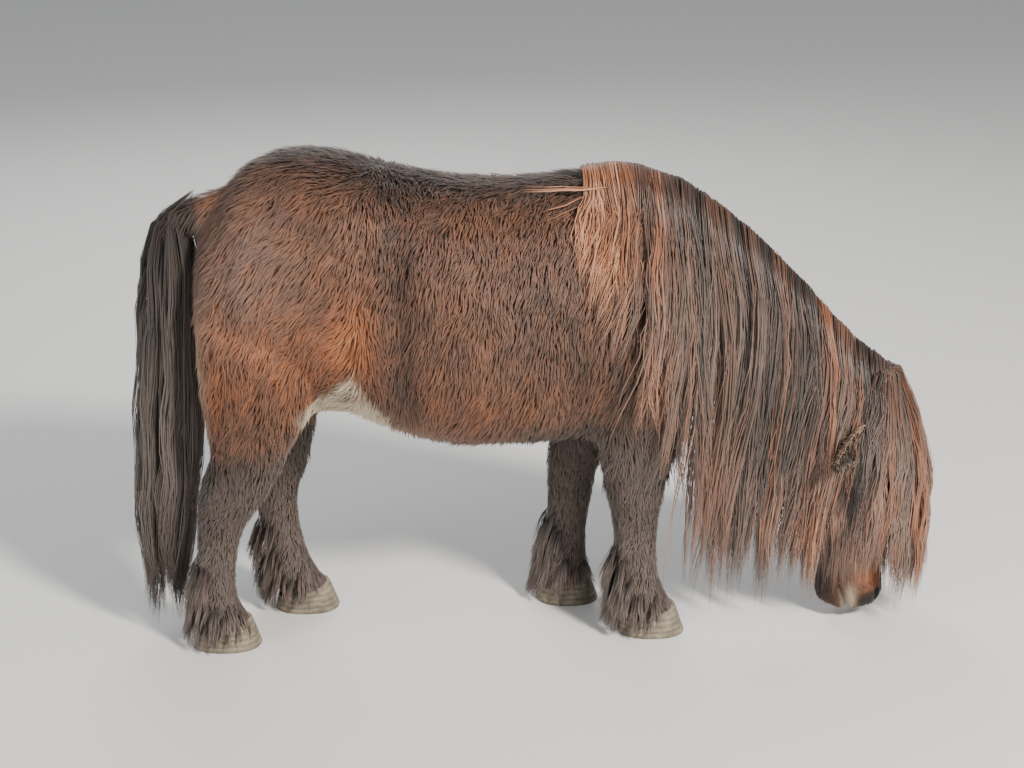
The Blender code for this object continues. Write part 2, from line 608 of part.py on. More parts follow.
def ear_mesh(name, side, grow=0.0):
    """A cupped ear along its axis: round at the base, open to the side above, pointed at the tip.

    With grow it is the room the ear takes, with the cup filled.
    """
    base = np.array([EAR_BASE[0], HEAD_MIDDLE + side * EAR_BASE[1], EAR_BASE[2]])
    tip = np.array([EAR_TIP[0], HEAD_MIDDLE + side * EAR_TIP[1], EAR_TIP[2]])
    axis = (tip - base) / np.linalg.norm(tip - base)
    opening = np.array([0.15, side * 1.0, -0.25])
    opening -= axis * opening.dot(axis)
    opening /= np.linalg.norm(opening)
    wide = np.cross(axis, opening)
    length = np.linalg.norm(tip - base)
    # place along, half width, depth of the back, depth of the cup
    rows = (
        (-0.10, 0.014, 0.013, -0.013),
        (0.08, 0.016, 0.015, -0.012),
        (0.22, 0.021, 0.018, -0.002),
        (0.38, 0.026, 0.019, 0.011),
        (0.58, 0.026, 0.017, 0.011),
        (0.76, 0.020, 0.014, 0.008),
        (0.90, 0.011, 0.009, 0.004),
        (0.99, 0.003, 0.003, 0.001),
    )
    rings = []
    for place, half, back, cup in rows:
        turn = np.arange(14) / 14 * math.tau
        if grow:
            half, back, cup = half + 2 * grow, back + 2 * grow, min(cup, -0.003) - 2 * grow
        across = np.cos(turn) * half
        depth = -np.sin(turn) * np.where(np.sin(turn) > 0, back, -cup)
        at = place * (length + 2 * grow) - grow
        centre = base + axis * at
        rings.append(centre + wide * across[:, None] + opening * depth[:, None])
    return tube_mesh(name, np.array(rings))


def hoof_mesh(name):
    front_x, front_z, back_x, back_z, top_half, toe, heel, sole_half, y = HOOVES[name]
    rows = (
        (front_x, front_z, back_x, back_z, top_half, y, 0.0, 2.3),
        (toe * 0.9 + front_x * 0.1, 0.006, heel * 0.9 + back_x * 0.1, 0.004, sole_half, y, -0.05, 2.3),
        (toe, 0.0, heel, 0.0, sole_half - 0.002, y, -0.05, 2.3),
    )
    return tube_mesh(name, np.array([ring(np.array(row), 24) for row in rows]))


def coronet_cut(hoof):
    """The sloping plane between a leg and its hoof."""
    front_x, front_z, back_x, back_z = HOOVES[hoof][:4]
    slope = Vector((front_x - back_x, 0, front_z - back_z)).normalized()
    up = Vector((-slope.z, 0, slope.x))
    return Vector((front_x, 0, front_z)) + up * GAP, -up


def mouth_slot():
    """A thin slab between the lips, closing to an edge at the corners of the mouth."""
    (front_x, front_z), (corner_x, corner_z) = MOUTH_FRONT, MOUTH_CORNER
    thickness, half = MOUTH_SLOT
    middle = HEAD_MIDDLE - 0.012
    outline = (
        (front_x - thickness / 2, front_z), (front_x + thickness / 2, front_z), (corner_x, corner_z)
    )
    rings = np.array([[(x, middle + side * half, z) for x, z in outline] for side in (-1, 1)])
    return add_object("mouth_slot", tube_mesh("mouth_slot", rings))


def lid_objects(centre, side):
    """An upper and a lower lid, lying over the eye from corner to corner."""
    s = np.linspace(0, 1, 6)
    bend = np.sin(s * math.pi)
    lids = []
    for reach in (0.0125, -0.0095):
        path = np.stack([centre[0] + 0.55 * 0.021 * (1 - 2 * s) + 0.84 * reach * bend,
                         centre[1] + side * (0.004 + 0.011 * bend),
                         centre[2] + 0.84 * 0.021 * (1 - 2 * s) - 0.55 * reach * bend], axis=1)
        widths = 0.012 * (0.35 + 0.65 * bend)
        lids.append(strand("lid", path, widths, widths * 0.75, (0.84, 0, -0.55)))
    return lids


def finish(obj, name, material):
    obj.name = name
    obj.data.name = name
    obj.data.materials.clear()
    obj.data.materials.append(material)
    obj.data.transform(frame_matrix())
    return obj


def frame_matrix():
    scale = WITHERS_HEIGHT / DRAWN_HEIGHT
    return Matrix.Translation(FRAME_SHIFT) @ Matrix.Scale(scale, 4)


def material(name, colour, roughness):
    made = bpy.data.materials.new(name)
    made.use_nodes = True
    shader = made.node_tree.nodes["Principled BSDF"]
    shader.inputs["Base Color"].default_value = (*colour, 1.0)
    shader.inputs["Roughness"].default_value = roughness
    return made


def build():
    drop(*list(bpy.data.objects))
    rng = np.random.default_rng(SEED)
    coat = material("winter_coat", (0.150, 0.075, 0.035), 0.9)
    dark = material("dark_leg_coat", (0.030, 0.022, 0.018), 0.9)
    mane = material("mane_hair", (0.060, 0.035, 0.022), 0.8)
    horn = material("hoof_horn", (0.420, 0.360, 0.280), 0.6)
    eye = material("eye", (0.015, 0.010, 0.008), 0.05)

    skin = whole_body()
    above = (Vector((0, 0, LEG_CUT_HEIGHT + GAP / 2)), Vector((0, 0, -1)))
    below = (Vector((0, 0, LEG_CUT_HEIGHT - GAP / 2)), Vector((0, 0, 1)))
    behind_neck, before_neck = side_of(NECK_CUT, False), side_of(NECK_CUT, True)
    cuts = {
        "torso": [behind_neck, side_of(DOCK_CUT, False), above],
        "neck": [before_neck, side_of(HEAD_CUT, False)],
        "head": [before_neck, side_of(HEAD_CUT, True)],
        "tail": [side_of(DOCK_CUT, True)],
    }
    torso, neck, head, tail = (
        add_object(name, node_mesh(skin, name, cuts[name], TRIANGLES[name])) for name in cuts
    )
    legs = {}
    for piece in pieces_of(sliced(skin, "legs", [below])):
        middle = np.mean([tuple(v.co) for v in piece.vertices], axis=0)
        for leg, hoof in LEGS.items():
            spec = HOOVES[hoof]
            if abs(middle[1] - spec[8]) < 0.05 and abs(middle[0] - (spec[0] + spec[2]) / 2) < 0.09:
                mesh = node_mesh(piece, leg, [coronet_cut(hoof), below], TRIANGLES["leg"])
                legs[leg] = add_object(leg, mesh)

    surface = tree_of(thinned(skin, "drape", DRAPING_TRIANGLES))
    rooms = tree_of(ear_mesh("ear_room", -1, 2 * GAP), ear_mesh("ear_room", 1, 2 * GAP))
    trees = {name: tree_of(obj.data) for name, obj in legs.items()}
    trees.update(torso=tree_of(torso.data), head=tree_of(head.data), ears=rooms)
    others = [trees[name] for name in trees]
    combined(neck, mane_locks(surface, others, rng), "UNION")
    hooves = [add_object(hoof, hoof_mesh(hoof)) for hoof in HOOVES]
    others = [tree_of(neck.data), rooms]
    combined(head, forelock_locks(tree_of(thinned(skin, "drape", DRAPING_TRIANGLES), neck.data),
                                  others, rng), "UNION")
    others = [trees["torso"], trees["leg_hind_right"], trees["leg_hind_left"]]
    combined(tail, tail_locks(others, rng), "UNION")
    others = [tree_of(*(hoof.data for hoof in hooves))]
    for leg, obj in legs.items():
        combined(obj, feather_locks(surface, others, LEGS[leg], rng), "UNION")
        finish(obj, leg, dark)

    combined(head, [mouth_slot()], "DIFFERENCE")
    for side, where in ((-1, "right"), (1, "left")):
        centre = (EYE_PLACE[0], HEAD_MIDDLE + side * EYE_PLACE[1], EYE_PLACE[2])
        combined(head, lid_objects(centre, side), "UNION")
        cuts = [
            sphere("socket", centre, (EYE_RADIUS + GAP,) * 3),
            add_object("ear_pocket", ear_mesh("ear_pocket", side, GAP)),
            sphere("nostril", (NOSTRIL[0], HEAD_MIDDLE - 0.012 + side * NOSTRIL[1], NOSTRIL[2]),
                   (0.007, 0.010, 0.013), 8, 5),
        ]
        combined(head, cuts, "DIFFERENCE")
        combined(neck, [add_object("ear_room", ear_mesh("ear_room", side, GAP))], "DIFFERENCE")
        finish(sphere("eye_" + where, centre, (EYE_RADIUS,) * 3), "eye_" + where, eye)
        finish(add_object("ear_" + where, ear_mesh("ear_" + where, side)), "ear_" + where, coat)
    finish(torso, "torso", coat)
    finish(neck, "neck", mane)
    finish(head, "head", coat)
    finish(tail, "tail", mane)
    for hoof in hooves:
        finish(hoof, hoof.name, horn)


build()
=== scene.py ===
"""Grazing miniature Shetland pony, life-size: the finished skin, winter coat, mane and tail.

Metres, +Z up, +X towards the head, +Y towards the pony's left. Shapes are worked out in the drawn
frame, where the station tables stand, and moved by SHIFT into the part's frame when a mesh is made.
"""

import math

import bmesh
import bpy
import numpy as np
from mathutils import Euler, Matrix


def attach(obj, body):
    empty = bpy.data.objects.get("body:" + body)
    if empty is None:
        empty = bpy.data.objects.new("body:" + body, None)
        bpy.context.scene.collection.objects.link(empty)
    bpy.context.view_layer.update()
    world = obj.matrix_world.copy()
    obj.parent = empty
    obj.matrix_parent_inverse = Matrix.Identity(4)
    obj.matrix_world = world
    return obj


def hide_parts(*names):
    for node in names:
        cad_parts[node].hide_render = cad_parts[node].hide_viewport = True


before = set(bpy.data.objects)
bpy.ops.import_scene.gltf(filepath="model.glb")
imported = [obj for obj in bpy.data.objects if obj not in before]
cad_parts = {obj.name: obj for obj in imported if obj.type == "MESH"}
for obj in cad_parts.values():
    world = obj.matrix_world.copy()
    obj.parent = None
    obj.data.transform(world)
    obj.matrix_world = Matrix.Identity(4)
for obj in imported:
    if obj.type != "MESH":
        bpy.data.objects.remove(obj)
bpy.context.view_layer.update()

bl_info = {
    "name": "Grazing Pony",
    "version": (1, 0, 0),
    "blender": (4, 5, 0),
    "location": "View3D > Sidebar > Pony",
    "description": "Skin, winter coat, mane, tail, hooves and stage of a grazing pony",
    "category": "Object",
}

SHIFT = np.array([-0.1785, 0.0, 0.0])
SEED = 11

# Stations of the lofts, drawn at the outline of the coat. Each row is: front or top point (x, z),
# back or bottom point (x, z), half width, sideways centre, egg (how much narrower the front or top
# is), squareness.
TORSO = (
    (-0.374, 0.640, -0.374, 0.520, 0.045, 0.0, 0.0, 2.0),
    (-0.366, 0.690, -0.370, 0.470, 0.085, 0.0, 0.0, 2.0),
    (-0.340, 0.750, -0.352, 0.430, 0.120, 0.0, 0.0, 2.1),
    (-0.290, 0.806, -0.300, 0.400, 0.148, 0.0, 0.0, 2.2),
    (-0.235, 0.832, -0.240, 0.395, 0.166, 0.0, 0.0, 2.2),
    (-0.175, 0.840, -0.175, 0.405, 0.179, 0.0, 0.02, 2.2),
    (-0.100, 0.828, -0.110, 0.398, 0.190, 0.0, 0.05, 2.2),
    (-0.020, 0.808, -0.030, 0.365, 0.200, 0.0, 0.08, 2.2),
    (0.070, 0.796, 0.060, 0.346, 0.207, 0.0, 0.10, 2.15),
    (0.160, 0.794, 0.150, 0.344, 0.203, 0.0, 0.10, 2.1),
    (0.240, 0.802, 0.240, 0.348, 0.190, 0.0, 0.10, 2.1),
    (0.310, 0.800, 0.325, 0.354, 0.172, 0.0, 0.12, 2.1),
    (0.375, 0.775, 0.395, 0.362, 0.152, 0.0, 0.15, 2.1),
    (0.420, 0.730, 0.445, 0.390, 0.126, 0.0, 0.15, 2.1),
    (0.455, 0.660, 0.475, 0.430, 0.090, 0.0, 0.10, 2.0),
    (0.472, 0.600, 0.482, 0.490, 0.045, 0.0, 0.0, 2.0),
)
NECK = (
    (0.270, 0.785, 0.400, 0.380, 0.120, 0.0, 0.25, 2.0),
    (0.345, 0.778, 0.455, 0.395, 0.122, 0.0, 0.30, 2.0),
    (0.420, 0.748, 0.500, 0.402, 0.106, 0.0, 0.34, 2.0),
    (0.492, 0.697, 0.545, 0.397, 0.092, -0.002, 0.36, 2.0),
    (0.560, 0.636, 0.586, 0.383, 0.082, -0.006, 0.36, 2.0),
    (0.622, 0.572, 0.620, 0.366, 0.075, -0.010, 0.34, 2.0),
    (0.682, 0.504, 0.642, 0.352, 0.070, -0.014, 0.30, 2.0),
    (0.738, 0.446, 0.655, 0.335, 0.064, -0.018, 0.22, 2.0),
    (0.772, 0.405, 0.672, 0.322, 0.052, -0.020, 0.10, 2.0),
)
HEAD = (
    (0.782, 0.424, 0.726, 0.416, 0.026, -0.019, 0.0, 2.0),
    (0.806, 0.402, 0.690, 0.392, 0.052, -0.020, 0.0, 2.1),
    (0.820, 0.366, 0.656, 0.350, 0.064, -0.022, 0.0, 2.2),
    (0.826, 0.322, 0.640, 0.310, 0.070, -0.024, -0.06, 2.3),
    (0.824, 0.276, 0.640, 0.266, 0.070, -0.026, -0.14, 2.3),
    (0.816, 0.228, 0.650, 0.222, 0.061, -0.028, -0.12, 2.3),
    (0.806, 0.182, 0.668, 0.180, 0.050, -0.030, -0.02, 2.2),
    (0.798, 0.138, 0.680, 0.138, 0.043, -0.032, 0.06, 2.2),
    (0.796, 0.098, 0.684, 0.096, 0.042, -0.033, 0.04, 2.2),
    (0.799, 0.062, 0.678, 0.058, 0.045, -0.034, -0.04, 2.2),
    (0.794, 0.034, 0.684, 0.032, 0.041, -0.034, -0.06, 2.2),
    (0.776, 0.018, 0.702, 0.018, 0.028, -0.034, 0.0, 2.1),
)
# Front (x, z) and back (x, z) of each leg in side view, from the body down
HIND_RIGHT_SIDE = (
    (-0.150, 0.610, -0.345, 0.640), (-0.132, 0.545, -0.364, 0.570), (-0.140, 0.490, -0.368, 0.490),
    (-0.180, 0.430, -0.362, 0.420), (-0.216, 0.372, -0.358, 0.362), (-0.242, 0.318, -0.372, 0.318),
    (-0.270, 0.268, -0.384, 0.278), (-0.302, 0.222, -0.388, 0.228), (-0.318, 0.170, -0.392, 0.172),
    (-0.325, 0.122, -0.398, 0.120), (-0.322, 0.082, -0.402, 0.074), (-0.306, 0.046, -0.396, 0.034),
    (-0.296, 0.020, -0.392, 0.010),
)
HIND_LEFT_SIDE = (
    (-0.150, 0.610, -0.345, 0.640), (-0.128, 0.545, -0.360, 0.570), (-0.128, 0.490, -0.362, 0.490),
    (-0.152, 0.430, -0.350, 0.420), (-0.176, 0.372, -0.332, 0.362), (-0.190, 0.318, -0.322, 0.312),
    (-0.204, 0.264, -0.318, 0.268), (-0.222, 0.216, -0.308, 0.218), (-0.222, 0.164, -0.296, 0.164),
    (-0.214, 0.118, -0.288, 0.114), (-0.200, 0.080, -0.280, 0.070), (-0.178, 0.046, -0.268, 0.032),
    (-0.166, 0.020, -0.262, 0.010),
)
FORE_RIGHT_SIDE = (
    (0.425, 0.560, 0.255, 0.560), (0.446, 0.490, 0.250, 0.480), (0.442, 0.420, 0.262, 0.410),
    (0.426, 0.356, 0.276, 0.350), (0.404, 0.300, 0.290, 0.298), (0.397, 0.252, 0.300, 0.250),
    (0.392, 0.204, 0.309, 0.200), (0.391, 0.152, 0.314, 0.148), (0.396, 0.108, 0.314, 0.102),
    (0.408, 0.074, 0.316, 0.064), (0.424, 0.044, 0.326, 0.032), (0.432, 0.020, 0.332, 0.010),
)
FORE_LEFT_SIDE = (
    (0.405, 0.560, 0.245, 0.560), (0.412, 0.490, 0.232, 0.480), (0.392, 0.420, 0.226, 0.410),
    (0.358, 0.356, 0.222, 0.350), (0.324, 0.300, 0.216, 0.298), (0.308, 0.252, 0.212, 0.250),
    (0.299, 0.204, 0.212, 0.200), (0.289, 0.152, 0.210, 0.148), (0.286, 0.108, 0.203, 0.102),
    (0.288, 0.074, 0.197, 0.064), (0.292, 0.044, 0.196, 0.032), (0.294, 0.020, 0.196, 0.010),
)
# Half width and distance from the middle of each station, the same for both legs of a pair
HIND_SECTIONS = (
    (0.050, 0.080), (0.078, 0.092), (0.080, 0.098), (0.070, 0.098), (0.056, 0.093), (0.044, 0.086),
    (0.037, 0.080), (0.032, 0.076), (0.028, 0.073), (0.029, 0.070), (0.034, 0.068), (0.038, 0.066),
    (0.037, 0.065),
)
FORE_SECTIONS = (
    (0.046, 0.092), (0.062, 0.098), (0.060, 0.096), (0.050, 0.090), (0.041, 0.084), (0.037, 0.080),
    (0.031, 0.076), (0.029, 0.072), (0.032, 0.070), (0.037, 0.068), (0.040, 0.066), (0.039, 0.065),
)
DOCK = (
    (-0.290, 0.795, -0.310, 0.725, 0.034, 0.0, 0.0, 2.0),
    (-0.345, 0.778, -0.345, 0.712, 0.034, 0.0, 0.0, 2.0),
    (-0.392, 0.762, -0.380, 0.700, 0.030, 0.0, 0.0, 2.0),
    (-0.430, 0.735, -0.394, 0.676, 0.026, 0.0, 0.0, 2.0),
    (-0.445, 0.690, -0.400, 0.640, 0.022, 0.0, 0.0, 2.0),
    (-0.446, 0.620, -0.410, 0.590, 0.016, 0.0, 0.0, 2.0),
    (-0.436, 0.560, -0.420, 0.550, 0.008, 0.0, 0.0, 2.0),
)


def leg_rows(outline, sections, side):
    """Stations of a leg from its outline in side view and the sections of its pair. All but the
    first, inside the body, are a little squarer than an ellipse."""
    return tuple(
        (*ends, half, side * out, 0.0, 2.1 if row else 2.0)
        for row, (ends, (half, out)) in enumerate(zip(outline, sections))
    )


LEG_PATHS = {
    "hind_right": leg_rows(HIND_RIGHT_SIDE, HIND_SECTIONS, -1),
    "hind_left": leg_rows(HIND_LEFT_SIDE, HIND_SECTIONS, 1),
    "fore_right": leg_rows(FORE_RIGHT_SIDE, FORE_SECTIONS, -1),
    "fore_left": leg_rows(FORE_LEFT_SIDE, FORE_SECTIONS, 1),
}
LOFTS = (TORSO, NECK, HEAD, *LEG_PATHS.values(), DOCK)

# Hooves: top front (x, z), top back (x, z), top half width, toe x, heel x, sole half width, y
HOOVES = {
    "hoof_fore_right": (0.424, 0.047, 0.328, 0.027, 0.037, 0.441, 0.324, 0.045, -0.066),
    "hoof_fore_left": (0.289, 0.047, 0.197, 0.027, 0.037, 0.306, 0.193, 0.045, 0.066),
    "hoof_hind_right": (-0.305, 0.047, -0.397, 0.027, 0.035, -0.290, -0.407, 0.042, -0.066),
    "hoof_hind_left": (-0.177, 0.047, -0.268, 0.027, 0.035, -0.160, -0.274, 0.042, 0.066),
}
# Places on the head: x, distance from the middle of the head, z
EYE_PLACE = (0.776, 0.058, 0.292)
EAR_BASE = (0.768, 0.052, 0.382)
EAR_TIP = (0.672, 0.120, 0.328)
NOSTRIL = (0.781, 0.030, 0.050)
EYE_RADIUS = 0.0165
HEAD_MIDDLE = -0.022
NOSE_TURN = 0.012  # how much further to the right the middle of the nose is
MOUTH_FRONT = (0.748, 0.004)
MOUTH_CORNER = (0.713, 0.072)

# Mane: places along the crest (x, z) and where hair from there ends (x, z)
CREST = (
    (0.268, 0.800), (0.305, 0.801), (0.350, 0.788), (0.420, 0.764), (0.492, 0.718), (0.560, 0.660),
    (0.622, 0.598), (0.682, 0.534), (0.738, 0.480), (0.786, 0.442),
)
MANE_ENDS = (
    (0.268, 0.244, 0.630), (0.305, 0.272, 0.575), (0.345, 0.318, 0.530), (0.375, 0.360, 0.400),
    (0.410, 0.410, 0.250), (0.445, 0.455, 0.110), (0.485, 0.484, 0.070), (0.540, 0.524, 0.060),
    (0.620, 0.580, 0.050), (0.700, 0.645, 0.070), (0.745, 0.692, 0.085), (0.785, 0.732, 0.100),
)
# Height, middle x, half depth, half width of the hanging tail
TAIL_SHAPE = (
    (0.775, -0.392, 0.030, 0.026), (0.735, -0.404, 0.044, 0.038), (0.700, -0.412, 0.050, 0.046),
    (0.600, -0.418, 0.052, 0.054), (0.450, -0.427, 0.057, 0.060), (0.280, -0.443, 0.056, 0.062),
    (0.150, -0.452, 0.044, 0.052), (0.020, -0.460, 0.030, 0.036),
)


# Sizes and colours


def size(name, description, default, **settings):
    """A length in metres that the panel shows."""
    return bpy.props.FloatProperty(
        name=name, description=description, default=default, unit="LENGTH", precision=4, **settings
    )


def tint(name, description, text):
    """A colour that the panel shows, given as sRGB hex."""
    return bpy.props.FloatVectorProperty(
        name=name, description=description, default=linear(text), subtype="COLOR", min=0, max=1
    )


def linear(text):
    """A colour written as sRGB hex, in linear light."""
    raw = np.array([int(text[i : i + 2], 16) for i in (1, 3, 5)]) / 255
    return tuple(np.where(raw <= 0.04045, raw / 12.92, ((raw + 0.055) / 1.055) ** 2.4))


class PonyCoatSizes(bpy.types.PropertyGroup):
    """Sizes of the winter coat."""

    depth: size("Coat depth", "From the skin of the barrel out to the tips of its coat", 0.012)
    barrel_hair: size("Barrel hair", "Length of a tuft on the barrel", 0.034)
    belly_hair: size("Belly hair", "Length of a tuft under the belly and chest", 0.048)
    leg_hair: size("Leg hair", "Length of a tuft on the cannon", 0.020)
    face_hair: size("Face hair", "Length of a tuft on the cheek", 0.013)
    tuft_width: size("Tuft width", "Width of a tuft on the barrel", 0.0024)
    tufts: bpy.props.IntProperty(
        name="Tufts", description="Tufts of short hair over the whole body", default=124000, min=1000
    )


class PonyHairSizes(bpy.types.PropertyGroup):
    """Sizes of the mane, forelock, tail and feather."""

    strand_width: size("Strand width", "Width of one strand of mane at its middle", 0.0021)
    mane_lift: size("Mane lift", "How far the mane stands off the crest", 0.042)
    mane_locks: bpy.props.IntProperty(
        name="Mane locks", description="Locks on the right side of the neck", default=140, min=10
    )
    forelock_locks: bpy.props.IntProperty(
        name="Forelock locks", description="Locks over the face", default=84, min=5
    )
    tail_locks: bpy.props.IntProperty(
        name="Tail locks", description="Locks in the tail", default=74, min=5
    )


class PonyColours(bpy.types.PropertyGroup):
    """Colours of the hair, from black to copper, and of the skin, horn and eye."""

    black: tint("Black hair", "Lower legs, tail and the dark of the mane", "#17120f")
    dark: tint("Dark hair", "Topline and folds", "#332016")
    brown: tint("Brown hair", "Barrel and rump", "#6f452e")
    chestnut: tint("Chestnut hair", "Flank and sunlit strands", "#a15c30")
    copper: tint("Copper hair", "Bleached strands of the mane", "#c98f69")
    cream: tint("Cream hair", "Groin and flank fold", "#dac8ae")
    # Grey sheen: painted sheen on the hair tips, rump, belly, crest and top of the tail; on the legs it is
    # dust.
    grey: tint("Grey sheen", "Weathered tips of the coat", "#9b8b81")
    skin: tint("Bare skin", "Nostril rim and lips", "#2c2521")
    horn: tint("Hoof horn", "Dusty hoof wall", "#938773")
    floor: tint("Floor", "Studio floor", "#dcdad6")


# Shapes


def smooth_rows(rows, between, held=False):
    """Catmull-Rom rows through the stations, with this many steps from each to the next. The curve
    runs on straight past its ends, or rests there if held."""
    rows = np.array(rows, float)
    before, after = (rows[0], rows[-1]) if held else (2 * rows[0] - rows[1], 2 * rows[-1] - rows[-2])
    ends = np.vstack([before, rows, after])
    t = (np.arange(between) / between)[None, :, None]
    a, b, c, d = (ends[k : k + len(rows) - 1, None, :] for k in range(4))
    curve = 2 * b + (c - a) * t + (2 * a - 5 * b + 4 * c - d) * t**2 + (3 * b - a - 3 * c + d) * t**3
    return np.vstack([(0.5 * curve).reshape(-1, rows.shape[1]), rows[-1:]])


def loft_points(rows, around):
    """Rings across a body: x and z run from the back point to the front point by a superellipse's
    sine, and y by its cosine, narrowed towards the front by the egg value."""
    front_x, front_z, back_x, back_z, half, middle, egg, square = (rows[:, k, None] for k in range(8))
    turn = (np.arange(around) / around * math.tau)[None, :]
    along = np.sign(np.sin(turn)) * np.abs(np.sin(turn)) ** (2 / square)
    across = np.sign(np.cos(turn)) * np.abs(np.cos(turn)) ** (2 / square)
    return np.stack(
        [
            (front_x + back_x) / 2 + (front_x - back_x) / 2 * along,
            middle + half * across * (1 - egg * along),
            (front_z + back_z) / 2 + (front_z - back_z) / 2 * along,
        ],
        axis=2,
    )


def ring_quads(rings, around, closed=True):
    """Quads that join each ring of points, or each row if not closed, to the next."""
    i, j = np.meshgrid(np.arange(rings - 1), np.arange(around if closed else around - 1), indexing="ij")
    k = (j + 1) % around
    quads = np.stack([i * around + j, i * around + k, (i + 1) * around + k, (i + 1) * around + j], 2)
    return quads.reshape(-1, 4).tolist()


def tube_faces(rings, around):
    """Quads joining each ring to the next, and a cap at each end."""
    caps = [list(range(around))[::-1], list(range((rings - 1) * around, rings * around))]
    return ring_quads(rings, around) + caps


def new_mesh(name, points, faces, smooth=True):
    """A mesh in the part's frame from points in the drawn frame, facing out."""
    mesh = bpy.data.meshes.new(name)
    mesh.from_pydata((np.asarray(points).reshape(-1, 3) + SHIFT).tolist(), [], faces)
    work = bmesh.new()
    work.from_mesh(mesh)
    bmesh.ops.recalc_face_normals(work, faces=work.faces)
    work.to_mesh(mesh)
    work.free()
    mesh.polygons.foreach_set("use_smooth", np.full(len(mesh.polygons), smooth))
    return mesh


def add_piece(name, mesh, material):
    """An object in the scene with this mesh and this material, if there is one."""
    obj = bpy.data.objects.new(name, mesh)
    bpy.context.scene.collection.objects.link(obj)
    if material:
        mesh.materials.append(material)
    return obj


def applied(obj):
    """Puts the object's modifiers into its mesh."""
    bpy.context.view_layer.update()
    graph = bpy.context.evaluated_depsgraph_get()
    mesh = bpy.data.meshes.new_from_object(obj.evaluated_get(graph))
    obj.modifiers.clear()
    obj.data = mesh
    return mesh


def read(mesh):
    """Points in the drawn frame, normals and triangles of a mesh."""
    points = np.empty(len(mesh.vertices) * 3, np.float32)
    mesh.vertices.foreach_get("co", points)
    normals = np.empty(len(mesh.vertices) * 3, np.float32)
    mesh.vertices.foreach_get("normal", normals)
    mesh.calc_loop_triangles()
    triangles = np.empty(len(mesh.loop_triangles) * 3, np.int32)
    mesh.loop_triangles.foreach_get("vertices", triangles)
    return points.reshape(-1, 3) - SHIFT, normals.reshape(-1, 3), triangles.reshape(-1, 3)


def move_points(mesh, points):
    """Puts the mesh's points at these places of the drawn frame."""
    mesh.vertices.foreach_set("co", (points + SHIFT).astype(np.float32).ravel())
    mesh.update()


def set_fields(mesh, fields):
    """Gives every point of the mesh its value of each named field."""
    for field, values in fields.items():
        layer = mesh.attributes.new(field, "FLOAT", "POINT")
        layer.data.foreach_set("value", np.asarray(values, np.float32).ravel())


def unit(vectors):
    """The vectors at length 1."""
    return vectors / np.maximum(np.linalg.norm(vectors, axis=-1, keepdims=True), 1e-9)


def laid(vectors, normals):
    """The vectors turned into the surface, at length 1."""
    return unit(vectors - normals * (vectors * normals).sum(axis=1, keepdims=True))


def mix(first, second, share):
    """The first value where share is 0, the second where it is 1."""
    return first * (1 - share) + second * share


def thinned(count):
    return count


def step(low, high, value):
    """0 below low, 1 above high and a smooth step between."""
    t = np.clip((value - low) / (high - low), 0, 1)
    return t * t * (3 - 2 * t)


def bell(points, centre, radii):
    """1 at the centre and falling off as a Gaussian with these radii."""
    return np.exp(-(((points - np.array(centre)) / np.array(radii)) ** 2).sum(axis=-1))


def add_bells(total, points, table, share=1.0):
    """Adds to the total, for each row of the table, its amount times the bell of its centre and
    radii, times the share."""
    for amount, centre, radii in table:
        total += share * amount * bell(points, centre, radii)
    return total


def ripple(points, length, seed):
    """Smooth noise from -1 to 1: the mean of eight sine waves of about this length."""
    rng = np.random.default_rng(seed)
    waves = unit(rng.normal(size=(8, 3))) * math.tau / (length * rng.uniform(0.6, 1.5, (8, 1)))
    return np.clip(np.sin(points @ waves.T + rng.uniform(0, math.tau, 8)).sum(axis=-1) / 3.2, -1, 1)


# Markings and lie of the coat

# Bells of warmth: amount, centre and radii, with y counted outwards from the middle plane. They
# darken the fold in front of the stifle, the elbow and the shoulder, and warm the flank, thigh,
# rump, belly, buttock and groin. The dark fold is painted shade in the crease, and the warmer
# thigh, rump and belly are partly painted sunlight.
WARM_BELLS = (
    (-0.13, (-0.042, 0.19, 0.66), (0.034, 0.2, 0.17)),
    (-0.16, (-0.045, 0.17, 0.475), (0.026, 0.2, 0.045)),
    (-0.13, (0.025, 0.19, 0.742), (0.022, 0.1, 0.018)),
    (0.30, (-0.118, 0.18, 0.575), (0.042, 0.2, 0.062)),
    (0.18, (-0.24, 0.16, 0.55), (0.11, 0.2, 0.09)),
    (0.10, (-0.28, 0.16, 0.68), (0.09, 0.2, 0.09)),
    (0.10, (0.06, 0.2, 0.44), (0.20, 0.3, 0.07)),
    (0.20, (-0.350, 0.10, 0.50), (0.026, 0.2, 0.11)),
    (-0.15, (0.36, 0.15, 0.45), (0.10, 0.2, 0.15)),
    (-0.08, (0.20, 0.19, 0.60), (0.08, 0.2, 0.16)),
    (0.22, (-0.19, 0.07, 0.40), (0.05, 0.04, 0.05)),
)
# The same on the head: a dark cheek, which is a painted shadow under the ear, a warm nose, a dark jaw
HEAD_WARM_BELLS = (
    (-0.38, (0.700, 0.06, 0.26), (0.050, 0.06, 0.10)),
    (0.42, (0.765, 0.03, 0.098), (0.06, 0.09, 0.026)),
    (-0.30, (0.680, 0.03, 0.070), (0.020, 0.08, 0.05)),
)
BODY_WARMTH, LEG_WARMTH, DOCK_WARMTH, HEAD_WARMTH, MUZZLE_WARMTH = 0.45, 0.13, 0.12, 0.42, 0.05
GROIN_TOP = (-0.118, 0.512)  # x and z of the top of the pale arch
GROIN_SLOPES = (0.80, 1.70)  # how steeply the arch falls behind and in front of its top


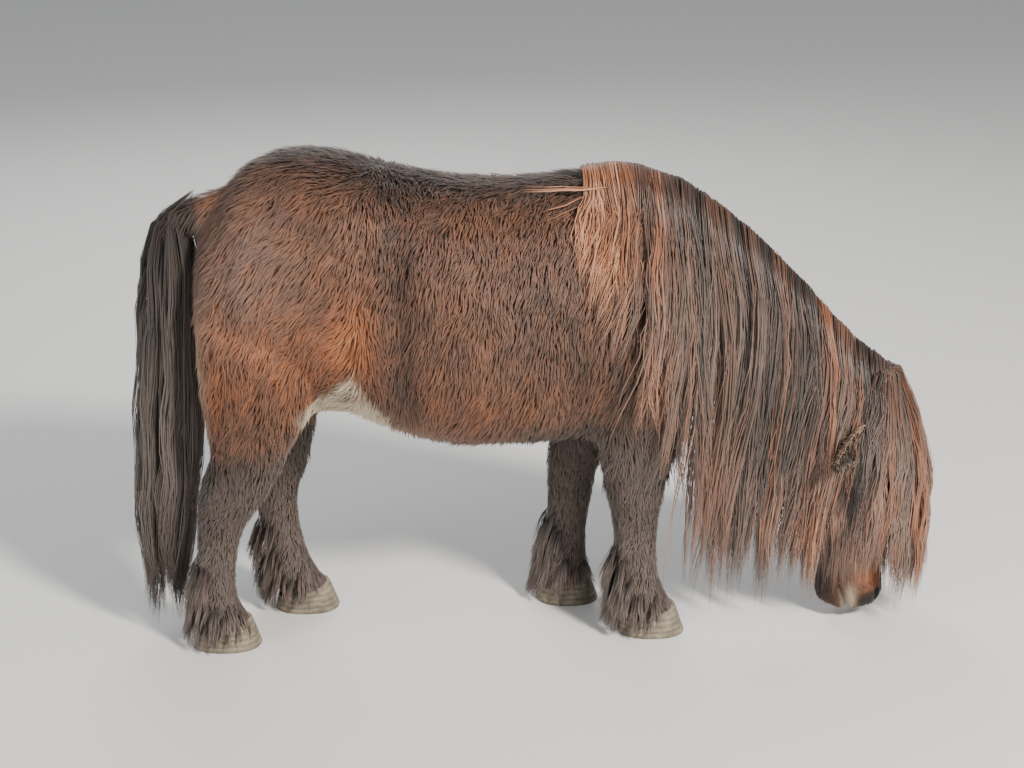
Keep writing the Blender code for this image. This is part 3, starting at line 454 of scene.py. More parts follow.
def markings(points):
    """Warmth of the hair, from 0 black over 0.5 brown to 1 copper, its share of cream, and its
    share of grey sheen, as sums of bells and steps over the body."""
    x, y, z = points[..., 0], np.abs(points[..., 1]), points[..., 2]
    flat = np.stack([x, y, z], axis=-1)
    warm = np.full(x.shape, BODY_WARMTH)
    warm -= 0.25 * step(0.735, 0.815, z - 0.045 * step(0.0, -0.2, x))
    add_bells(warm, flat, WARM_BELLS)
    leg = step(0.395, 0.300, z) * step(0.52, 0.47, x)
    front = step(0.1, 0.2, x)
    leg = leg * (1 - front) + front * step(0.44, 0.33, z) * step(0.52, 0.47, x)
    warm = mix(warm, LEG_WARMTH, leg)
    warm = mix(warm, DOCK_WARMTH, step(-0.350, -0.372, x) * step(0.60, 0.68, z))
    head = step(0.58, 0.66, x)
    warm = add_bells(mix(warm, HEAD_WARMTH, head), flat, HEAD_WARM_BELLS, head)
    muzzle = head * step(0.068, 0.050, z - 0.25 * (x - 0.78)) * step(0.741, 0.757, x)
    warm = mix(warm, MUZZLE_WARMTH, muzzle)
    # Pale hair of the groin, below an arch whose top is at the flank, round a browner middle;
    # the browner middle is painted shade in the hollow of the groin
    slope = np.where(x < GROIN_TOP[0], *GROIN_SLOPES)
    arch = GROIN_TOP[1] - slope * np.abs(x - GROIN_TOP[0]) + 0.008 * ripple(points, 0.02, 8)
    cream = 0.90 * step(0.008, -0.012, z - arch) * step(-0.215, -0.190, x) * step(-0.030, -0.055, x)
    cream *= step(0.375, 0.415, z)
    cream -= 0.62 * bell(flat, (-0.120, 0.15, 0.468), (0.024, 0.3, 0.015))
    cream = np.maximum(cream, 0.60 * bell(flat, (-0.10, 0.0, 0.40), (0.13, 0.09, 0.035)))
    # Pale hair of the buttock and the lip
    cream += 0.34 * bell(flat, (-0.358, 0.09, 0.50), (0.014, 0.06, 0.10))
    cream += 0.80 * bell(flat, (0.731, 0.05, 0.046), (0.012, 0.05, 0.026))
    # Grey: painted sheen over the rump, the middle of the barrel and the lower belly; on the lower legs it
    # is dust.
    grey = 0.20 + 0.80 * bell(flat, (-0.29, 0.15, 0.67), (0.11, 0.3, 0.12))
    grey += 0.22 * bell(flat, (0.13, 0.2, 0.56), (0.20, 0.3, 0.13))
    grey += leg * (0.60 + 0.40 * step(0.25, 0.10, z)) + 0.10 * step(0.5, 0.4, z) * (1 - leg)
    grey -= 0.10 * head
    cream = cream * (1 - muzzle)
    return np.clip(warm, 0, 1), np.clip(cream, 0, 1), np.clip(grey, 0, 1)


def coat_depth(points):
    """Depth of the coat: full on the body, thin on the face, thinner down the legs."""
    x, z = points[:, 0], points[:, 2]
    depth = bpy.context.scene.pony_coat.depth
    leg = step(0.40, 0.12, z) * step(0.55, 0.50, x)
    head = step(0.62, 0.70, x)
    muzzle = head * step(0.24, 0.10, z)
    return depth * (1 - 0.52 * leg) * (1 - 0.5 * head) * (1 - 0.62 * muzzle)


# The way the hair lies on each part
RUMP_LIE, BARREL_LIE, THIGH_LIE = (-0.62, 0.0, -0.78), (-0.26, 0.0, -0.96), (-0.25, 0, -0.97)
LEG_LIE, NECK_LIE, HEAD_LIE = (-0.12, 0, -1.0), (-0.25, 0, -0.97), (-0.10, 0, -1.0)
FLANK_PARTING = -0.112  # x of the line down the flank where the hair parts


def lie_of_coat(points):
    """The way the hair lies, before it is laid into the surface: back and down on the body, down
    the legs and the face, waved over the stifle. Also how far it turns out of that way."""
    x, y, z = points[:, 0], points[:, 1], points[:, 2]
    flat = np.stack([x, np.abs(y), z], 1)
    body = mix(np.array(RUMP_LIE), np.array(BARREL_LIE), step(-0.16, -0.04, x)[:, None])
    thigh = step(-0.14, -0.22, x) * step(0.70, 0.50, z)
    body = mix(body, np.array(THIGH_LIE), thigh[:, None])
    # The flank's hair parts at a line down the fold and sweeps off to both sides of it
    flank = bell(flat, (-0.118, 0.17, 0.55), (0.055, 0.2, 0.085))
    body[:, 0] += 1.1 * np.tanh((x - FLANK_PARTING) / 0.014) * flank
    leg = step(0.44, 0.36, z) * step(0.56, 0.50, x) * step(0.03, 0.06, np.abs(y))
    neck = step(0.38, 0.46, x)
    head = step(0.64, 0.70, x) * step(0.44, 0.40, z)
    for way, share in ((LEG_LIE, leg), (NECK_LIE, neck), (HEAD_LIE, head)):
        body = mix(body, np.array(way), share[:, None])
    turn = 0.26 * ripple(points, 0.11, 1) + 0.18 * ripple(points, 0.05, 2)
    turn += 0.5 * ripple(points, 0.045, 3) * bell(flat, (-0.17, 0.16, 0.53), (0.13, 0.2, 0.09))
    return body, turn


def hair_length(points):
    """Length of a tuft by place."""
    sizes = bpy.context.scene.pony_coat
    x, z = points[:, 0], points[:, 2]
    length = np.full(len(points), sizes.barrel_hair)
    under = step(0.43, 0.36, z) * step(-0.2, -0.1, x) * step(0.52, 0.44, x)
    length += (sizes.belly_hair - length) * under
    leg = step(0.36, 0.25, z) * step(0.55, 0.50, x)
    length += (sizes.leg_hair - length) * leg
    length += 0.010 * bell(points[:, [0, 2]], (-0.10, 0.44), (0.08, 0.05))
    head = step(0.62, 0.68, x) * step(0.44, 0.38, z)
    length += (sizes.face_hair - length) * head
    length -= 0.0065 * head * step(0.13, 0.07, z)
    jaw = head * step(0.70, 0.665, x)
    length += 0.016 * jaw
    return length


# Hair as mesh

LOWEST_HAIR = 0.004  # no hair reaches below this height
BAKE_PATCH = 0.003  # size of a strand's patch on the bake map
STRAND_RIDGE = 0.42  # height of a strand's ridge, as a share of its width
TUFT_RIDGE = 0.26  # the same for a tuft of the coat


def strand_arrays(paths, widths, thickness, outward):
    """Closed strands, pointed at both ends: between them the section is a flat triangle with its
    ridge outwards. paths is (strands, steps, 3), widths and thickness are (strands, steps)."""
    count, steps = paths.shape[:2]
    tangent = unit(np.gradient(paths, axis=1))
    side = unit(np.cross(tangent, outward))
    up = np.cross(side, tangent)
    middle = paths[:, 1:-1]
    wide = side[:, 1:-1] * widths[:, 1:-1, None] / 2
    ridge = up[:, 1:-1] * thickness[:, 1:-1, None]
    rings = np.stack([middle + wide, middle + ridge, middle - wide], axis=2)
    points = np.concatenate([paths[:, :1], rings.reshape(count, -1, 3), paths[:, -1:]], axis=1)
    corner = np.arange(3)
    turned = (corner + 1) % 3
    ring = 1 + 3 * np.arange(steps - 3)[:, None]
    last = 1 + 3 * (steps - 3)
    faces = np.concatenate(
        [
            np.stack([ring + corner, ring + corner + 3, ring + turned + 3], 2).reshape(-1, 3),
            np.stack([ring + corner, ring + turned + 3, ring + turned], 2).reshape(-1, 3),
            np.stack([0 * corner, 1 + corner, 1 + turned], 1),
            np.stack([last + corner, 0 * corner + last + 3, last + turned], 1),
        ]
    )
    faces = faces[None] + np.arange(count)[:, None, None] * points.shape[1]
    along = at_points(np.linspace(0, 1, steps)[None])[0]
    patch = np.stack([np.concatenate([[0], np.tile([-1.0, 0.0, 1.0], steps - 2), [0]]), 2 * along - 1], 1)
    return points, faces.reshape(-1, 3), along, patch


def at_points(values):
    """Values given at each step of the strands, repeated for the three corners of every ring."""
    return np.concatenate([values[:, :1], np.repeat(values[:, 1:-1], 3, axis=1), values[:, -1:]], axis=1)


def hair_piece(name, paths, widths, thickness, outward, fields, root_uv, material, soft=0.5):
    """One object of strands, with its colour fields and an OFBake map whose patches, 0.003 across,
    lie where each strand's root lies on the unwrap. soft is how far the shading leans from each
    strand's own roundness to the form under it, as fine hairs side by side do."""
    paths = np.concatenate([paths[..., :2], np.maximum(paths[..., 2:], LOWEST_HAIR)], axis=2)
    points, faces, along, patch = strand_arrays(paths, widths, thickness, outward)
    count, each = points.shape[:2]
    mesh = bpy.data.meshes.new(name)
    mesh.vertices.add(count * each)
    mesh.vertices.foreach_set("co", (points.reshape(-1, 3) + SHIFT).astype(np.float32).ravel())
    mesh.loops.add(faces.size)
    mesh.loops.foreach_set("vertex_index", faces.astype(np.int32).ravel())
    mesh.polygons.add(len(faces))
    mesh.polygons.foreach_set("loop_start", np.arange(0, faces.size, 3, dtype=np.int32))
    mesh.polygons.foreach_set("use_smooth", np.ones(len(faces), bool))
    mesh.update(calc_edges=True)
    own = np.empty(count * each * 3, np.float32)
    mesh.vertices.foreach_get("normal", own)
    form = at_points(outward).reshape(-1, 3)
    leaned = unit(unit(form) * soft + own.reshape(-1, 3) * (1 - soft))
    mesh.normals_split_custom_set_from_vertices(leaned.tolist())
    values = {"along": np.tile(along, count)}
    for field, value in fields.items():
        value = np.asarray(value)
        values[field] = np.repeat(value, each) if value.ndim == 1 else at_points(value).ravel()
    set_fields(mesh, values)
    uv = (root_uv[:, None, :] + patch[None] * (BAKE_PATCH / 2)).reshape(-1, 2)
    mesh.uv_layers.new(name="OFBake").data.foreach_set("uv", uv[faces.ravel()].astype(np.float32).ravel())
    obj = add_piece(name, mesh, material)
    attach(obj, "root")
    return obj


def fitted_uv(uv):
    """The unwrap's values brought into 0.01 to 0.99."""
    low, high = uv.min(axis=0), uv.max(axis=0)
    return 0.01 + 0.98 * (uv - low) / np.maximum(high - low, 1e-6)


# Materials


def add_node(tree, kind, settings=None, links=None):
    """A shader node of this kind, with its properties and input values set and its inputs linked.
    The name of a property starts with a dot."""
    node = tree.nodes.new("ShaderNode" + kind)
    for name, value in (settings or {}).items():
        if isinstance(name, str) and name.startswith("."):
            setattr(node, name[1:], value)
        else:
            node.inputs[name].default_value = value
    for name, socket in (links or {}).items():
        tree.links.new(socket, node.inputs[name])
    return node


def fill_ramp(ramp, stops):
    """Sets a colour ramp's stops from pairs of position and colour."""
    elements = ramp.color_ramp.elements
    while len(elements) < len(stops):
        elements.new(0.5)
    for element, (position, colour) in zip(elements, stops):
        element.position = position
        element.color = (*colour, 1.0)


def new_material(name, shader):
    """A material and its Principled shader, with the shader's values set."""
    material = bpy.data.materials.new(name)
    material.use_nodes = True
    tree = material.node_tree
    principled = tree.nodes["Principled BSDF"]
    for socket, value in shader.items():
        principled.inputs[socket].default_value = value
    return material, tree, principled


def hair_colour(tree, noise_scale, root_dark, tip_grey, spread):
    """Colour of hair: the warmth field, moved by noise and by each strand's tone, picks a colour
    between black and copper; cream and grey are mixed over it, and roots are darker than tips."""
    colours = bpy.context.scene.pony_colours
    field = {
        name: add_node(tree, "Attribute", {".attribute_name": name}).outputs["Fac"]
        for name in ("warm", "cream", "grey", "tone", "along")
    }
    noise = add_node(
        tree, "TexNoise", {"Scale": noise_scale, "Detail": 5.0, "Roughness": 0.65},
        {"Vector": add_node(tree, "TexCoord").outputs["Object"]},
    )
    moved = add_node(
        tree, "Math", {".operation": "MULTIPLY_ADD", 1: 0.34, 2: -0.17}, {0: noise.outputs["Fac"]}
    ).outputs[0]
    toned = add_node(
        tree, "Math", {".operation": "MULTIPLY_ADD", 1: spread}, {0: field["tone"], 2: moved}
    ).outputs[0]
    warmth = add_node(
        tree, "Math", {".operation": "ADD", ".use_clamp": True}, {0: field["warm"], 1: toned}
    ).outputs[0]
    ramp = add_node(tree, "ValToRGB", None, {"Fac": warmth})
    stops = ((0.06, colours.black), (0.28, colours.dark), (0.52, colours.brown),
             (0.76, colours.chestnut), (1.0, colours.copper))
    fill_ramp(ramp, stops)
    patchy = add_node(
        tree, "Math", {".operation": "MULTIPLY_ADD", 1: 3.0, 2: 1.15}, {0: moved}
    ).outputs[0]
    some = add_node(
        tree, "Math", {".operation": "MULTIPLY", ".use_clamp": True}, {0: patchy, 1: field["cream"]}
    ).outputs[0]
    creamed = add_node(
        tree, "Mix", {".data_type": "RGBA", "B": (*colours.cream, 1.0)},
        {"Factor": some, "A": ramp.outputs["Color"]},
    ).outputs["Result"]
    # Grey mixed in towards the tips: painted sheen, and dust where the grey field marks the legs.
    tip = add_node(
        tree, "Math", {".operation": "MULTIPLY"}, {0: field["grey"], 1: field["along"]}
    ).outputs[0]
    tip = add_node(tree, "Math", {".operation": "MULTIPLY", 1: tip_grey}, {0: tip}).outputs[0]
    greyed = add_node(
        tree, "Mix", {".data_type": "RGBA", "B": (*colours.grey, 1.0)}, {"Factor": tip, "A": creamed}
    ).outputs["Result"]
    # Roots darker than tips: painted shade down among the hairs.
    shade = add_node(
        tree, "MapRange", {"To Min": root_dark, "To Max": 1.0}, {"Value": field["along"]}
    ).outputs["Result"]
    shade = add_node(tree, "CombineColor", None, dict.fromkeys(("Red", "Green", "Blue"), shade))
    return add_node(
        tree, "Mix", {".data_type": "RGBA", ".blend_type": "MULTIPLY", "Factor": 1.0},
        {"A": greyed, "B": shade.outputs["Color"]},
    ).outputs["Result"]


def matt_winter_coat():
    """Dry winter hair, unclipped: matt with a soft greyish sheen off the tips."""
    material, tree, shader = new_material(
        "matt_winter_coat",
        {"Roughness": 0.58, "IOR": 1.45, "Specular IOR Level": 0.35, "Sheen Weight": 0.12,
         "Sheen Roughness": 0.45, "Sheen Tint": (0.75, 0.68, 0.62, 1)},
    )
    tree.links.new(hair_colour(tree, 26.0, 0.76, 0.60, 0.13), shader.inputs["Base Color"])
    return material


def coarse_mane_hair():
    """Long coarse hair, weathered at the ends and greyed there by painted sheen: each strand has a soft
    gloss along its ridge.
    """
    material, tree, shader = new_material(
        "coarse_mane_hair",
        {"Roughness": 0.46, "IOR": 1.5, "Sheen Weight": 0.10, "Specular IOR Level": 0.55},
    )
    tree.links.new(hair_colour(tree, 34.0, 0.70, 0.85, 0.27), shader.inputs["Base Color"])
    return material


def skin_under_coat():
    """Skin seen between the hairs: the coat's own colours, darker, with short flat hair as fine
    ridges that run down the body. Bare skin has pores instead."""
    material, tree, shader = new_material(
        "skin_under_coat",
        {"Roughness": 0.75, "IOR": 1.45, "Sheen Weight": 0.15, "Specular IOR Level": 0.3},
    )
    bare = add_node(tree, "Attribute", {".attribute_name": "bare"}).outputs["Fac"]
    colour = add_node(
        tree, "Mix", {".data_type": "RGBA", "B": (*bpy.context.scene.pony_colours.skin, 1.0)},
        {"Factor": bare, "A": hair_colour(tree, 26.0, 0.82, 0.30, 0.13)},
    )
    place = add_node(tree, "TexCoord").outputs["Object"]
    # Hairs about 2.4 mm apart and 22 mm long, coarser than real ones so that they show
    lie = add_node(tree, "Mapping", {"Scale": (1.0, 1.0, 0.11)}, {"Vector": place})
    hairs = add_node(
        tree, "TexNoise", {"Scale": 420.0, "Detail": 3.0, "Roughness": 0.6}, {"Vector": lie.outputs[0]}
    )
    pores = add_node(tree, "TexNoise", {"Scale": 900.0, "Detail": 2.0}, {"Vector": place})
    height = add_node(
        tree, "Mix", None, {"Factor": bare, "A": hairs.outputs["Fac"], "B": pores.outputs["Fac"]}
    )
    bump = add_node(
        tree, "Bump", {"Strength": 0.7, "Distance": 0.0016}, {"Height": height.outputs["Result"]}
    )
    tree.links.new(bump.outputs[0], shader.inputs["Normal"])
    tree.links.new(colour.outputs["Result"], shader.inputs["Base Color"])
    return material


def dusty_hoof_horn():
    """Unpolished horn with dried dust on it: matt and pale, with growth rings round the wall."""
    material, tree, shader = new_material("dusty_hoof_horn", {"Roughness": 0.8, "IOR": 1.54})
    horn = bpy.context.scene.pony_colours.horn
    place = add_node(tree, "TexCoord").outputs["Object"]
    # Growth rings about 10 mm apart, nearly level
    rings = add_node(
        tree, "TexWave",
        {".bands_direction": "Z", "Scale": 31.0, "Distortion": 2.2, "Detail": 2.0, "Detail Scale": 2.0},
        {"Vector": place},
    )
    grain = add_node(tree, "Mapping", {"Scale": (1.0, 1.0, 0.12)}, {"Vector": place})
    fibres = add_node(tree, "TexNoise", {"Scale": 380.0, "Detail": 3.0}, {"Vector": grain.outputs[0]})
    dust = add_node(
        tree, "TexNoise", {"Scale": 45.0, "Detail": 6.0, "Roughness": 0.7}, {"Vector": place}
    )
    ramp = add_node(tree, "ValToRGB", None, {"Fac": dust.outputs["Fac"]})
    fill_ramp(ramp, ((0.36, tuple(value * 0.42 for value in horn)), (0.60, horn)))
    tinted = add_node(
        tree, "Mix", {".data_type": "RGBA", ".blend_type": "MULTIPLY", "Factor": 0.30},
        {"A": ramp.outputs["Color"], "B": rings.outputs["Color"]},
    )
    relief = add_node(
        tree, "Math", {".operation": "MULTIPLY_ADD", 1: 0.5},
        {0: fibres.outputs["Fac"], 2: rings.outputs["Fac"]},
    )
    bump = add_node(tree, "Bump", {"Strength": 0.6, "Distance": 0.0012}, {"Height": relief.outputs[0]})
    tree.links.new(tinted.outputs["Result"], shader.inputs["Base Color"])
    tree.links.new(bump.outputs[0], shader.inputs["Normal"])
    return material


def wet_brown_eye():
    """A moist eye: dark brown iris round a level pupil, under a clear wet surface."""
    material, tree, shader = new_material(
        "wet_brown_eye",
        {"Roughness": 0.06, "IOR": 1.376, "Coat Weight": 1.0, "Coat Roughness": 0.02},
    )
    look = add_node(tree, "Attribute", {".attribute_name": "iris"}).outputs["Fac"]
    ramp = add_node(tree, "ValToRGB", None, {"Fac": look})
    stops = ((0.0, "#060404"), (0.30, "#070505"), (0.40, "#2a1409"), (0.80, "#1c0d07"), (0.92, "#3b302a"))
    fill_ramp(ramp, [(position, linear(text)) for position, text in stops])
    tree.links.new(ramp.outputs["Color"], shader.inputs["Base Color"])
    return material


def pale_studio_floor():
    """Matt painted floor."""
    floor = (*bpy.context.scene.pony_colours.floor, 1.0)
    return new_material("pale_studio_floor", {"Roughness": 0.9, "Base Color": floor})[0]


# Skin

SKIN_VOXEL = 0.0056
LOFT_STEPS, LOFT_AROUND = 5, 36  # rings from station to station, and points round a ring
FACE_X, FACE_Z = (0.645, 0.84), (-0.01, 0.42)  # where the skin is finer

# Bells that move the skin along its normal: amount, centre and radii. On the face y is counted from
# the middle of the head: socket, brow, hollow above it, cheek bone, hollow below it, jaw.
FACE_BELLS = (
    (-0.0065, (EYE_PLACE[0] + 0.004, EYE_PLACE[1] + 0.012, EYE_PLACE[2]), (0.017, 0.03, 0.020)),
    (0.0050, (0.797, 0.056, 0.312), (0.016, 0.03, 0.020)),
    (-0.0050, (0.800, 0.045, 0.346), (0.012, 0.03, 0.016)),
    (0.0035, (0.752, 0.060, 0.235), (0.010, 0.03, 0.060)),
    (-0.0040, (0.716, 0.055, 0.180), (0.022, 0.03, 0.040)),
    (0.0040, (0.670, 0.055, 0.290), (0.020, 0.03, 0.050)),
)
# Croup, hip, hollow behind the ribs, flank fold, stifle, elbow, shoulder, hollow behind it,
# buttock, right knee, left knee
BODY_BELLS = (
    (0.007, (-0.17, 0.0, 0.84), (0.16, 0.12, 0.06)),
    (0.006, (-0.13, 0.14, 0.775), (0.035, 0.04, 0.04)),
    (-0.010, (-0.085, 0.19, 0.70), (0.05, 0.06, 0.07)),
    (-0.009, (-0.040, 0.19, 0.56), (0.022, 0.10, 0.16)),
    (0.007, (-0.160, 0.17, 0.53), (0.05, 0.05, 0.06)),
    (-0.007, (0.235, 0.18, 0.47), (0.03, 0.08, 0.09)),
    (0.006, (0.335, 0.16, 0.52), (0.06, 0.06, 0.08)),
    (-0.006, (0.300, 0.17, 0.66), (0.025, 0.06, 0.09)),
    (-0.006, (-0.31, 0.12, 0.60), (0.02, 0.05, 0.10)),
    (0.004, (0.355, 0.07, 0.270), (0.05, 0.06, 0.024)),
    (0.003, (0.255, 0.07, 0.268), (0.05, 0.06, 0.024)),
)


def face_details(points):
    """How far each point of the skin moves along its normal: sockets, brow, cheek bone, jaw,
    nostrils, lips, mouth and the folds of the throat, each a bell or a groove."""
    x, y, z = points[:, 0], points[:, 1] - HEAD_MIDDLE, points[:, 2]
    flat = np.stack([x, np.abs(y), z], 1)
    nose = np.stack([x, np.abs(y + NOSE_TURN), z], 1)
    move = add_bells(np.zeros(len(points)), flat, FACE_BELLS)
    move += 0.0042 * bell(nose, (NOSTRIL[0], NOSTRIL[1] + 0.006, NOSTRIL[2]), (0.017, 0.02, 0.020))
    # A mouth line from the lip's front up to its corner: distance from that segment in side view
    start = np.array(MOUTH_FRONT) + (-0.004, -0.02)
    line = np.array(MOUTH_CORNER) - start
    t = np.clip(((x - start[0]) * line[0] + (z - start[1]) * line[1]) / (line**2).sum(), 0, 1)
    away = np.hypot(x - start[0] - t * line[0], z - start[1] - t * line[1])
    lip = 0.0028 * np.exp(-((away - 0.011) / 0.007) ** 2) - 0.0085 * np.exp(-((away / 0.0036) ** 2))
    move += step(0.13, 0.11, z) * step(0.64, 0.66, x) * lip
    # Wrinkles above the nostril and behind the corner of the mouth
    wrinkle = np.sin((z * 0.9 + x * 0.5) * math.tau / 0.0085)
    move += 0.0007 * wrinkle * bell(nose, (0.750, 0.035, 0.075), (0.03, 0.03, 0.022))
    # Folds of skin under the throat
    fold = np.sin((x * 0.6 - z) * math.tau / 0.035)
    move += 0.003 * fold * bell(flat, (0.655, 0.03, 0.345), (0.03, 0.06, 0.03))
    return move


def nostril_pits(points):
    """Sinks a comma-shaped opening into each side of the nose: how far each point moves, and how
    bare it is."""
    y = points[:, 1] - HEAD_MIDDLE + NOSE_TURN
    x, z = points[:, 0] - NOSTRIL[0], points[:, 2] - NOSTRIL[2]
    curl = 0.35 * (z / 0.012) ** 2
    away = np.hypot((x + 0.004 * curl - 0.0015) / 0.0058, z / 0.0125)
    open_side = step(0.012, 0.020, np.abs(y))
    depth = 0.013 * step(1.15, 0.55, away) * open_side
    inward = np.stack([np.full(len(y), -0.45), -0.80 * np.sign(y), np.full(len(y), 0.40)], 1)
    return inward * depth[:, None], step(1.3, 0.9, away) * open_side


def body_hollows(points):
    """Muscle and bone under the coat, as a distance along the normal."""
    flat = np.stack([points[:, 0], np.abs(points[:, 1]), points[:, 2]], 1)
    return add_bells(np.zeros(len(points)), flat, BODY_BELLS)


class PONY_OT_skin(bpy.types.Operator):
    """Make one skin over the whole body, with the bones and folds that show through it"""

    bl_idname = "pony.skin"
    bl_label = "Skin"

    def execute(self, context):
        points, faces = [], []
        for rows in LOFTS:
            rings = loft_points(smooth_rows(rows, LOFT_STEPS), LOFT_AROUND)
            first = LOFT_AROUND * len(points)
            faces += [[corner + first for corner in face] for face in tube_faces(len(rings), LOFT_AROUND)]
            points += list(rings)
        skin = add_piece("skin", new_mesh("skin", np.array(points), faces), None)
        remesh = skin.modifiers.new("Remesh", "REMESH")
        remesh.mode = "VOXEL"
        remesh.voxel_size = SKIN_VOXEL
        smooth = skin.modifiers.new("Smooth", "SMOOTH")
        smooth.factor = 0.5
        smooth.iterations = 14
        mesh = applied(skin)
        spots, normals, _ = read(mesh)
        move_points(mesh, spots + normals * (body_hollows(spots) - coat_depth(spots))[:, None])
        self.refine_face(mesh)
        mesh.update()
        spots, normals, _ = read(mesh)
        move_points(mesh, spots + normals * face_details(spots)[:, None])
        spots, normals, _ = read(mesh)
        pits, rim = nostril_pits(spots)
        spots = spots + pits
        move_points(mesh, spots)
        mesh.polygons.foreach_set("use_smooth", np.ones(len(mesh.polygons), bool))
        warm, cream, grey = markings(spots)
        lips = step(0.022, 0.010, spots[:, 2]) * step(0.64, 0.67, spots[:, 0])
        # along at 0.35 darkens the skin with the roots' painted shade.
        set_fields(mesh, {
            "warm": warm, "cream": cream, "grey": grey, "tone": np.zeros(len(warm)),
            "along": np.full(len(warm), 0.35), "bare": np.clip(np.maximum(rim, 0.75 * lips), 0, 1),
        })
        mesh.materials.append(skin_under_coat())
        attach(skin, "root")
        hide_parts("torso", "neck", "head", "leg_fore_right", "leg_fore_left",
                    "leg_hind_right", "leg_hind_left")
        return {"FINISHED"}

    def refine_face(self, mesh):
        """Splits the faces of the head into four, then smooths them once."""
        work = bmesh.new()
        work.from_mesh(mesh)
        chosen = set(self.face_points(work))
        edges = [edge for edge in work.edges if edge.verts[0] in chosen and edge.verts[1] in chosen]
        bmesh.ops.subdivide_edges(work, edges=edges, cuts=1, use_grid_fill=True)
        bmesh.ops.smooth_vert(
            work, verts=self.face_points(work), factor=0.5,
            use_axis_x=True, use_axis_y=True, use_axis_z=True,
        )
        work.to_mesh(mesh)
        work.free()

    def face_points(self, work):
        """The points of the front of the head."""
        return [
            vert for vert in work.verts
            if FACE_X[0] < vert.co.x - SHIFT[0] < FACE_X[1] and FACE_Z[0] < vert.co.z < FACE_Z[1]
        ]


# Coat

CLUMP_CELL = 0.015  # size of the cells whose tufts lean together


def leg_at(name, z):
    """Middle x and y, half depth and half width of a leg at these heights."""
    front_x, front_z, back_x, back_z, half, middle = np.array(LEG_PATHS[name])[::-1, :6].T
    levels = (front_z + back_z) / 2
    values = ((front_x + back_x) / 2, middle, (front_x - back_x) / 2, half)
    return [np.interp(z, levels, value) for value in values]


def regions(points):
    """The coat piece that each root belongs to, and its place on that piece's unwrap: the angle
    round the region's own middle line, and the way along it."""
    x, y, z = points[:, 0], points[:, 1], points[:, 2]
    right = y < 0
    side = np.where(right, "_right", "_left")
    names = np.where(x < -0.12, "rump", np.where(x < 0.12, "barrel", "shoulder"))
    # The neck and the head start at planes across the throat and behind the poll
    neck = (0.928 * (x - 0.36) + 0.373 * (z - 0.596)) > 0
    head = neck & ((0.796 * (x - 0.690) - 0.605 * (z - 0.408)) > 0)
    names = np.where(head, "head", np.char.add(np.where(neck, "neck", names), side))
    leg = (z < 0.35) & (x < 0.52) & (np.abs(y) > 0.02)
    names = np.where(leg, np.char.add(np.where(x > 0.1, "leg_fore", "leg_hind"), side), names)
    names = np.where((x < -0.385) & ~leg, "dock", names)

    def turn(rise, out):
        """The angle round a middle line, with each half's seam under the belly."""
        angle = np.arctan2(rise, out)
        return np.where(right, (angle + math.pi * 1.5) % math.tau, angle)

    middle = np.interp(x, (0.36, 0.78), (0.60, 0.37))
    u = np.where(neck, turn(z - middle, y + 0.01), turn(z - 0.59, y))
    u = np.where(head, np.arctan2(y + 0.028, x - 0.735), u)
    v = np.where(head, z, x)
    for key in LEG_PATHS:
        centre, out, _, _ = leg_at(key, z)
        own = names == "leg_" + key
        u = np.where(own, np.arctan2(y - out, x - centre), u)
        v = np.where(own, z, v)
    dock = names == "dock"
    u = np.where(dock, np.arctan2(y, x + 0.42), u)
    v = np.where(dock, z, v)
    return names, np.stack([u, v], axis=1)


def roots_on(mesh, count, density, rng):
    """Random roots spread over the mesh by area times density: place and normal."""
    points, normals, triangles = read(mesh)
    corners = points[triangles]
    area = np.linalg.norm(np.cross(corners[:, 1] - corners[:, 0], corners[:, 2] - corners[:, 0]), axis=1)
    share = np.cumsum(area * density(corners.mean(axis=1)))
    spread = (np.arange(count) + rng.uniform(0, 1, count)) / count * share[-1]
    face = triangles[np.minimum(np.searchsorted(share, spread), len(triangles) - 1)]
    a, b = rng.uniform(0, 1, (2, count, 1))
    flip = a + b > 1
    a, b = np.where(flip, 1 - a, a), np.where(flip, 1 - b, b)

    def inside(values):
        """The value at each root, from the corners of its triangle."""
        return values[face[:, 0]] * (1 - a - b) + values[face[:, 1]] * a + values[face[:, 2]] * b

    return inside(points), unit(inside(normals))


def coat_density(points):
    """Tufts per area: more on the face and legs, where they are small, fewer under the mane and
    none on the eyes, the nostrils, the lips and inside the tops of the hooves."""
    x, y, z = points[:, 0], points[:, 1], points[:, 2]
    dense = np.ones(len(points))
    dense += 0.9 * step(0.36, 0.25, z) * step(0.55, 0.50, x)
    head = step(0.64, 0.68, x) * step(0.43, 0.40, z)
    dense += head * (0.6 + 1.6 * step(0.15, 0.11, z))
    hidden = step(0.30, 0.38, x) * step(0.0, -0.03, y) * step(0.45, 0.52, z) * (1 - head)
    dense *= 1 - 0.75 * hidden
    dense *= 1 - head * step(0.040, 0.024, z)
    dense *= 1 - step(0.040, 0.026, z) * (1 - head)
    nostril = np.hypot((x - NOSTRIL[0]) / 0.011, (z - NOSTRIL[2]) / 0.017) < 1
    dense *= np.where(nostril & (x > 0.74), 0.0, 1.0)
    from_middle = np.stack([x, np.abs(y - HEAD_MIDDLE), z], 1)
    eye = np.linalg.norm(from_middle - EYE_PLACE, axis=1)
    dense *= np.where(eye < EYE_RADIUS + 0.0025, 0.0, 1.0)
    return dense


